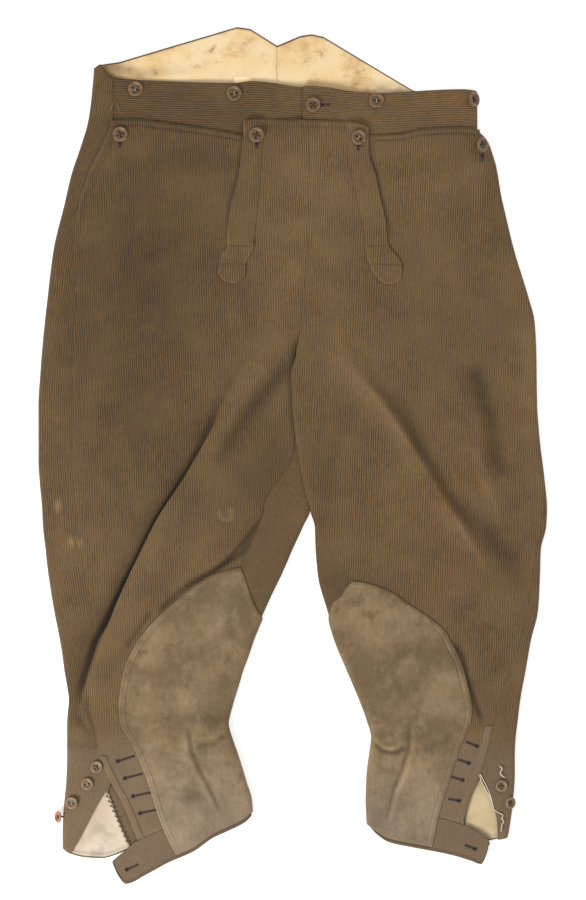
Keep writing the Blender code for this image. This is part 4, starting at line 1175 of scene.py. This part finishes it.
def knee_lining_of(side, rows, under_hem, material):
    """Knee lining: rows between the two listed edges, a little rumpled, on the back."""
    place, nearer, farther = np.array(rows, float).T
    down = by_row(KNEE_LINING_ROWS)
    y = (place[0] + (place[-1] - place[0]) * down) * MM
    first = curve(tuple(zip(place, nearer)), y / MM) * MM
    second = curve(tuple(zip(place, farther)), y / MM) * MM
    x = first + (second - first) * by_column(KNEE_LINING_COLUMNS)
    y = y + (line(under_hem, x) + 2 * MM - y[-1]) * down**2
    z = CORD + SEAM + COTTON + 0.25 * MM * (1 + np.sin(160 * x + 90 * y))
    hem = bell(y - y[-1:] - 3 * MM, 1.2)
    tone = 1 - 0.25 * hem + 0 * x
    points = joined(x, y, z)
    mesh = grid_mesh(points, joined(x, y), tone, side)
    cloth(side, "knee_lining", mesh, COTTON, material)


knee_lining_of(
    -1,
    ((-352, -216, -240), (-376, -207, -246), (-400, -198, -249), (-440, -182, -250)),
    RIGHT_UNDER_HEM, pale_cotton,
)
knee_lining_of(
    1,
    ((-352, 205, 236), (-376, 200, 236), (-400, 193, 234), (-430, 190, 230)),
    LEFT_UNDER_HEM, yellow_cotton,
)

# ---------------------------------------------------------------- the buttons
# Pressed brown four-hole buttons with a raised rim and a dished face, large ones at the
# waist for the braces and the fall and smaller ones at the knees. Each is sewn through
# its holes and hangs a little its own way.


def button_material(name, colour, dark):
    """Pressed horn: streaked brown with a soft shine; the tone that the mesh carries paints shade in
    the dish and the holes and a highlight on the rim.
    """
    at, shader, made = finish_of(name, 0.42)
    shader.inputs["Specular IOR Level"].default_value = 0.5
    place = at.place()
    tone = at.worked("tone")
    streak = at.noise(place, 260.0, 4, 0.6)
    fine = at.noise(place, 1400.0, 2)
    horn = at.mix(streak.step(0.35, 0.7), dark, colour)
    wire(at, shader, horn.scaled(tone), fine + streak, 0.12 * MM, 0.6)
    return made


horn = button_material("brown_horn", (0.240, 0.137, 0.056, 1), (0.125, 0.071, 0.032, 1))
pale_horn = button_material("pale_brown_horn", (0.300, 0.190, 0.105, 1), (0.175, 0.108, 0.058, 1))
bright_horn = button_material("orange_horn", (0.50, 0.22, 0.11, 1), (0.34, 0.14, 0.06, 1))
BUTTON_THICK = 2.6 * MM
BRACE_RADIUS = 8.5 * MM
SMALL_RADIUS = 6.7 * MM
BUTTON_RINGS, BUTTON_TURNS = 36, 41
# In thousandths: the way over the top and round, the radius and the height.
PROFILE = (
    ("way", "radius", "height"),
    (0, 0, 560), (180, 330, 570), (330, 560, 640), (430, 700, 880), (500, 800, 990),
    (580, 900, 960), (660, 975, 800), (730, 1000, 560), (800, 960, 250), (860, 820, 40),
    (1000, 0, 0),
)


def button_of(name, node, radius, tip, towards, spin, material):
    """Button: a turned profile whose face dips at four round holes, tipped by an angle
    towards a direction about the middle of its node's box. It gives back how it is sewn."""
    way = by_row(BUTTON_RINGS)
    turn = np.linspace(0, 2 * np.pi, BUTTON_TURNS)[None, :] + math.radians(spin)
    out = read(PROFILE, "radius", way) * radius
    up = read(PROFILE, "height", way) * BUTTON_THICK
    x, y = out * np.cos(turn), out * np.sin(turn)
    spread, size = 0.235 * radius, 0.105 * radius
    hole = 0 * x
    for a in np.radians(np.array((45, 135, 225, 315)) + spin):
        off = np.hypot(x - math.cos(a) * spread * 1.41, y - math.sin(a) * spread * 1.41)
        hole = hole + smooth((size * 1.5 - off) / (size * 0.6)) * (way < 0.45)
    z = np.broadcast_to(up - 1.1 * MM * hole, x.shape) - BUTTON_THICK / 2
    rim = np.exp(-(((way - 0.5) / 0.05) ** 2))
    # Painted shade in the holes and the dished face, and a painted highlight along the top of the
    # rim.
    tone = (1 - 0.85 * hole) * (1 - 0.25 * (way < 0.4)) * (1 + 0.25 * rim)
    low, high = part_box(node)
    centre = (np.array(low) + np.array(high)) / 2
    turned = np.array(Matrix.Rotation(math.radians(towards), 3, "Z")
                      @ Matrix.Rotation(math.radians(tip), 3, "Y"))
    points = joined(x, y, z) @ turned.T + centre
    mesh = grid_mesh(points, joined(x, y), tone + 0 * x, 1)
    mesh.materials.append(material)
    piece = placed(name, mesh)
    piece.modifiers.new("closed", "WELD").merge_threshold = 0.01 * MM
    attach(piece, "root")
    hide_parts(node)
    return radius, spin, centre, turned


WAIST_BUTTONS = (  # tip, towards, spin of the holes
    (0, 0, 20), (0, 0, 60), (0, 0, 5), (0, 0, 40), (44, 0, 15), (0, 0, 70), (0, 0, 30),
    (0, 0, 10), (40, 0, 50),
)
KNEE_BUTTONS = ((0, 0, 15), (0, 0, 55), (8, 180, 30), (55, 180, 0), (0, 0, 45), (30, 0, 20))
sewn = []
for number, (tip, towards, spin) in enumerate(WAIST_BUTTONS, 1):
    sewn.append(button_of(f"brace_button_{number}", f"waist_button_{number}", BRACE_RADIUS, tip,
                          towards, spin, horn))
for number, (tip, towards, spin) in enumerate(KNEE_BUTTONS, 1):
    sewn.append(button_of(f"small_button_{number}", f"knee_button_{number}", SMALL_RADIUS, tip,
                          towards, spin, bright_horn if number == 4 else pale_horn))

# ---------------------------------------------------------------- the sewing
# All the threads: those through the buttons, the buttonholes worked in dark twist with a round eye at
# one end, rows of stitches, and the loose and frayed ends; and near-black tubes that paint the shade
# in the buttonhole slits and eyes. They are many small tubes joined in a few pieces, all lying on the
# cloth.


def tubes(name, paths, radius, material, sides=6, taper=0.0):
    """Many tubes joined as one mesh: paths is an array (tubes, points along, 3), and each
    ring stands square to its path, in a frame made with the upright."""
    paths = np.asarray(paths, float)
    along = np.gradient(paths, axis=1)
    along = along / np.linalg.norm(along, axis=-1, keepdims=True)
    level = np.cross(along, (0, 0, 1.0))
    level = level / np.maximum(np.linalg.norm(level, axis=-1, keepdims=True), 1e-6)
    up = np.cross(level, along)
    count, steps = paths.shape[:2]
    angle = np.arange(sides)[None, None, :, None] * 2 * np.pi / sides
    share = np.linspace(-1, 1, steps)[None, :, None, None]
    size = radius * (1 - taper * share**4)
    ring = (level[:, :, None] * np.cos(angle) + up[:, :, None] * np.sin(angle)) * size
    places = (paths[:, :, None] + ring).reshape(-1, 3)
    index = np.arange(count * steps * sides).reshape(count, steps, sides)
    here, ahead = index[:, :-1], index[:, 1:]
    faces = np.stack([here, np.roll(here, -1, axis=2), np.roll(ahead, -1, axis=2), ahead],
                     axis=-1).reshape(-1, 4)
    ends = index[:, 0, ::-1].tolist() + index[:, -1].tolist()
    mesh = bpy.data.meshes.new(name)
    mesh.from_pydata(places.tolist(), [], faces.tolist() + ends)
    mesh.materials.append(material)
    mesh.shade_smooth()
    piece = placed(name, mesh)
    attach(piece, "root")


def thread_material(name, colour):
    """Twisted thread: small streaks of light and dark."""
    at, shader, made = finish_of(name, 0.8, 0.1)
    place = at.place()
    ply = at.noise(place, 1800.0, 2, 0.6)
    dark, light = ([share * c for c in colour] + [1] for share in (0.65, 1.25))
    wire(at, shader, at.mix(ply, dark, light), ply, 0.1 * MM, 0.5)
    return made


# Near-black, for the tubes that paint the shade in the buttonhole slits and eyes.
buttonhole_shade = thread_material("painted_buttonhole_shade", (0.022, 0.016, 0.018))
plum_twist = thread_material("plum_buttonhole_twist", (0.085, 0.057, 0.055))
brown_thread = thread_material("brown_sewing_thread", (0.075, 0.046, 0.026))
tan_thread = thread_material("tan_sewing_thread", (0.26, 0.17, 0.085))
pale_thread = thread_material("pale_linen_thread", (0.70, 0.60, 0.46))


def ground(x, y, lift=0.0):
    """Places on the top of the cloth at x, y: the half's folded height and its lifts."""
    x, y = np.asarray(x, float), np.asarray(y, float)
    z = np.where(x < RIGHT.inner(y), RIGHT.folded(x, y)[1], LEFT.folded(x, y)[1])
    z = np.where(y > 377 * MM, LAY + lap(x), z + over_band(x, y))
    return joined(x, y, z + lift)


def spaced(points, pitch):
    """Places every pitch along a line through points, and its direction at each."""
    ends = np.array(points, float) * MM
    run = np.concatenate([[0], np.cumsum(np.hypot(*np.diff(ends, axis=0).T))])
    at = np.arange(pitch / 2, run[-1], pitch)
    x, y = np.interp(at, run, ends[:, 0]), np.interp(at, run, ends[:, 1])
    ahead = at + pitch / 4
    way = np.stack([np.interp(ahead, run, ends[:, 0]) - x, np.interp(ahead, run, ends[:, 1]) - y])
    return x, y, way / np.maximum(np.hypot(*way), 1e-9)


def stitches(points, lift, pitch=2.6 * MM, length=1.7 * MM):
    """Paths of single stitches along a line, each a low arch of five points."""
    x, y, way = spaced(points, pitch)
    along = np.linspace(-0.5, 0.5, 5)[None, :] * length
    arch = 0.25 * MM * (1 - (2 * along / length) ** 2) - 0.15 * MM
    return ground(x[:, None] + way[0][:, None] * along, y[:, None] + way[1][:, None] * along,
                  arch + lift)


def buttonhole(x, y, towards, length, lift):
    """Path of the twist round a buttonhole: a round eye at x, y and two straight sides."""
    turn = np.radians(np.linspace(35, 325, 15))
    eye = np.stack([-np.cos(turn), np.sin(turn)]) * 1.9 * MM
    side = np.linspace(0.15, 1, 9) * length
    apart = 0 * side + 0.75 * MM
    local = np.concatenate([np.stack([-side[::-1], apart]), eye, np.stack([-side, -apart])], axis=1)
    angle = math.radians(towards) + math.pi
    px = x * MM + local[0] * math.cos(angle) - local[1] * math.sin(angle)
    py = y * MM + local[0] * math.sin(angle) + local[1] * math.cos(angle)
    return ground(px, py, lift)


# Buttonholes: place of the eye, the way it runs, its length, and its cloth's lift.
BUTTONHOLES = (
    (-193, 348, -92, 5, 0.4), (-41, 347, -88, 5, 2.9), (73, 345, -94, 6, 2.9),
    (211, 334, -92, 6, 0.4), (32, 391, 0, 9, 0.4),
    (-196, -342, 18, 20, 0.5), (-188, -361, 15, 20, 0.5), (-179, -381, 12, 20, 0.5),
    (-171, -400, 12, 20, 0.5), (-186, -463, 25, 14, 0.5),
    (205, -325, 158, 13, 0.5), (196, -344, 161, 12, 0.5), (189, -363, 163, 13, 0.5),
    (185, -386, 170, 12, 0.5), (203, -440, 157, 12, 0.5),
)
tubes("buttonhole_twist", [
    buttonhole(x, y, way, length * MM, lift * MM) for x, y, way, length, lift in BUTTONHOLES
], 0.42 * MM, plum_twist, sides=7)
# The eyes and the slits are near-black tubes that paint the shade in the openings.
tubes("buttonhole_eyes", [
    ground(np.array([x - 1.1, x + 1.1]) * MM, np.array([y, y]) * MM, (lift - 0.9) * MM)
    for x, y, way, length, lift in BUTTONHOLES
], 1.8 * MM, buttonhole_shade, sides=10)
tubes("buttonhole_slits", [
    ground(np.linspace(x, x + math.cos(math.radians(way)) * length, 6) * MM,
           np.linspace(y, y + math.sin(math.radians(way)) * length, 6) * MM, (lift - 0.35) * MM)
    for x, y, way, length, lift in BUTTONHOLES
], 0.36 * MM, buttonhole_shade, sides=6, taper=0.5)

PALE_SEWN = (0, 1, 3, 7, 10, 11)  # the buttons with one pale thread
TIPPED = 0.4  # sine of a tip past which a button stands off the cloth on a longer shank
threads_dark, threads_pale, threads_shank = [], [], []
for number, (radius, spin, centre, turned) in enumerate(sewn):
    for hole in (45, 135):
        angle = math.radians(hole + spin)
        reach = np.linspace(1, -1, 9)
        x = reach * math.cos(angle) * 0.33 * radius
        y = reach * math.sin(angle) * 0.33 * radius
        z = 0.35 * MM + 0.35 * MM * (1 - reach**2) - 0.9 * MM * np.abs(reach) ** 8
        pale = number in PALE_SEWN and hole == 45
        path = joined(x, y, z) @ turned.T + centre
        (threads_pale if pale else threads_dark).append(path)
    tipped = abs(turned[2, 0]) > TIPPED
    under = np.array((0, 0, -1.0)) @ turned.T
    inwards = np.array((-np.sign(centre[0]), 0, 0))
    foot = centre + under * (3.0 + 2.6 * tipped) * MM + inwards * 4.5 * MM * tipped
    threads_shank.append(centre + (foot - centre) * by_row(9))
tubes("button_shanks", threads_shank, 0.9 * MM, brown_thread)
tubes("button_thread", threads_dark, 0.38 * MM, brown_thread)
tubes("pale_button_thread", threads_pale, 0.34 * MM, pale_thread)

rows_brown = [
    stitches(((-193, 366), (-178, 367.5), (-140, 363.5), (-104, 358.5), (-62, 351)), 0.15 * MM),
    stitches(((92, 351), (121, 352), (143, 357), (182, 359), (203, 357)), 0.15 * MM),
    stitches(((-35, 342), (-39, 286), (-43, 241)), 0.4 * MM, 3.2 * MM, 1.2 * MM),
    stitches(((60, 333), (68, 297), (76, 262), (81.5, 233)), 0.4 * MM, 3.2 * MM, 1.2 * MM),
    stitches(((-195, 368), (-207, 336), (-216, 320), (-227, 290)), 0.5 * MM),
]
tubes("brown_stitches", np.concatenate(rows_brown), 0.26 * MM, brown_thread, sides=5,
      taper=0.6)
rows_tan = [
    stitches(((-78, 213), (-56, 213)), 2.35 * MM, 2.0 * MM, 1.5 * MM),
    stitches(((91, 211), (113, 213)), 2.35 * MM, 2.0 * MM, 1.5 * MM),
    stitches(((-240, 272), (-231, 262), (-226, 268)), 0.6 * MM, 1.8 * MM, 1.4 * MM),
    stitches(((-254, -322), (-240, -323), (-218, -322)), 0.3 * MM, 2.2 * MM, 1.4 * MM),
]
tubes("waistband_mark", [
    ground(np.array([-203.5, -201.5, -199, -196.5, -194]) * MM,
           np.array([386, 392, 398.5, 392, 385]) * MM, 0.7 * MM)
], 0.55 * MM, tan_thread, sides=6)
tubes("tan_stitches", np.concatenate(rows_tan), 0.28 * MM, tan_thread, sides=5, taper=0.6)


def border_stitches(half, table, hem, inset, pitch):
    """Stitches of a patch border: along its front edge at an inset, on its own skin."""
    loop, y = patch_grid(half, table, hem, 600)
    run = half.length(loop, y)
    start = half.at_length(run[:, -1:] - inset, y[:, -1:])
    path = half.skin(start, y[:, -1:] - inset * 0.25, PATCH_LIFT)[:, 0]
    gone = np.concatenate([[0], np.cumsum(np.linalg.norm(np.diff(path, axis=0), axis=1))])
    share = np.linspace(-1, 1, 5)
    at = np.arange(pitch, gone[-1] - 3 * MM, pitch)[:, None] + share * 0.32 * pitch
    stitch = np.stack([np.interp(at, gone, path[:, k]) for k in range(3)], axis=-1)
    stitch[..., 2] += 0.22 * MM * (1 - share**2)
    return stitch


for name, half, table, hem in (
    ("right_patch_stitches", RIGHT, RIGHT_PATCH, RIGHT_HEM),
    ("left_patch_stitches", LEFT, LEFT_PATCH, LEFT_HEM),
):
    borders = [border_stitches(half, table, hem, inset * MM, 2.6 * MM) for inset in (2.6, 7.6)]
    tubes(name, np.concatenate(borders), 0.17 * MM, brown_thread, sides=5, taper=0.6)


def low_path(*points):
    """A smooth thread through points (x, y, height in millimetres) near the cloth."""
    table = np.array(points, float)
    share = np.linspace(0, 1, len(table))
    at = np.linspace(0, 1, 28)
    x, y, z = (curve(tuple(zip(share, table[:, k])), at) * MM for k in range(3))
    return joined(x, y, z)


zigzag_y = np.linspace(-370, -434, 24)
zigzag_x = -211.5 - (zigzag_y + 372) * 0.44 + np.where(np.arange(24) % 2, 2.6, -2.2)
zigzag = joined(zigzag_x, zigzag_y, 0 * zigzag_y + 4.4) * MM
tubes("zigzag_stitches", [zigzag], 0.55 * MM, brown_thread, sides=5)
tubes("loose_ends", [
    low_path((230.5, -347, 9), (233, -350, 10), (231, -355, 10), (236, -360, 9)),
    low_path((232, -405, 9), (235, -409, 9.5), (233, -412, 10), (232, -420, 9)),
    low_path((208, -357, 8), (211, -366, 8), (222, -387, 7), (224, -396, 7)),
    low_path((224, -396, 7), (229, -399, 8), (234, -402, 9), (233, -407, 9)),
    low_path((209, -356, 8.5), (213, -364, 8.2), (219, -377, 7.5), (222, -386, 7.2)),
], 0.55 * MM, pale_thread)

# ---------------------------------------------------------------- the room
# A plain white table, soft light from the lower left, and a camera straight above.

table_mesh = bpy.data.meshes.new("white_table")
table_mesh.from_pydata([(-4, -4, -0.0003), (4, -4, -0.0003), (4, 4, -0.0003), (-4, 4, -0.0003)],
                       [], [(0, 1, 2, 3)])
white_table = placed("white_table", table_mesh)
at, shader, made = finish_of("white_card", 0.9)
shader.inputs["Base Color"].default_value = (0.86, 0.86, 0.86, 1)
shader.inputs["Emission Color"].default_value = (1, 1, 1, 1)
shader.inputs["Emission Strength"].default_value = 0.5
table_mesh.materials.append(made)

world = bpy.data.worlds.new("studio")
bpy.context.scene.world = world
world.use_nodes = True
backdrop = world.node_tree.nodes["Background"]
backdrop.inputs["Color"].default_value = (1, 1, 1, 1)
backdrop.inputs["Strength"].default_value = 0.55


def softbox(name, place, size, power):
    """A square area light at a place, facing the middle of the garment."""
    light = bpy.data.lights.new(name, "AREA")
    light.size, light.energy = size, power
    lamp = placed(name, light)
    lamp.location = place
    lamp.rotation_euler = (-Vector(place)).to_track_quat("-Z", "Y").to_euler()


softbox("key", (-1.2, -1.5, 1.5), 0.8, 46)
softbox("fill", (1.5, 1.2, 1.9), 1.6, 12)

CAMERA_HEIGHT = 2.6
FRAME_HEIGHT = 1.008
camera = bpy.data.cameras.new("camera")
camera.sensor_width = 36
camera.lens = 36 * CAMERA_HEIGHT / FRAME_HEIGHT
viewer = placed("camera", camera)
viewer.location = (-0.0002, 0.0058, CAMERA_HEIGHT)
bpy.context.scene.camera = viewer
bpy.context.scene.view_settings.view_transform = "Standard"
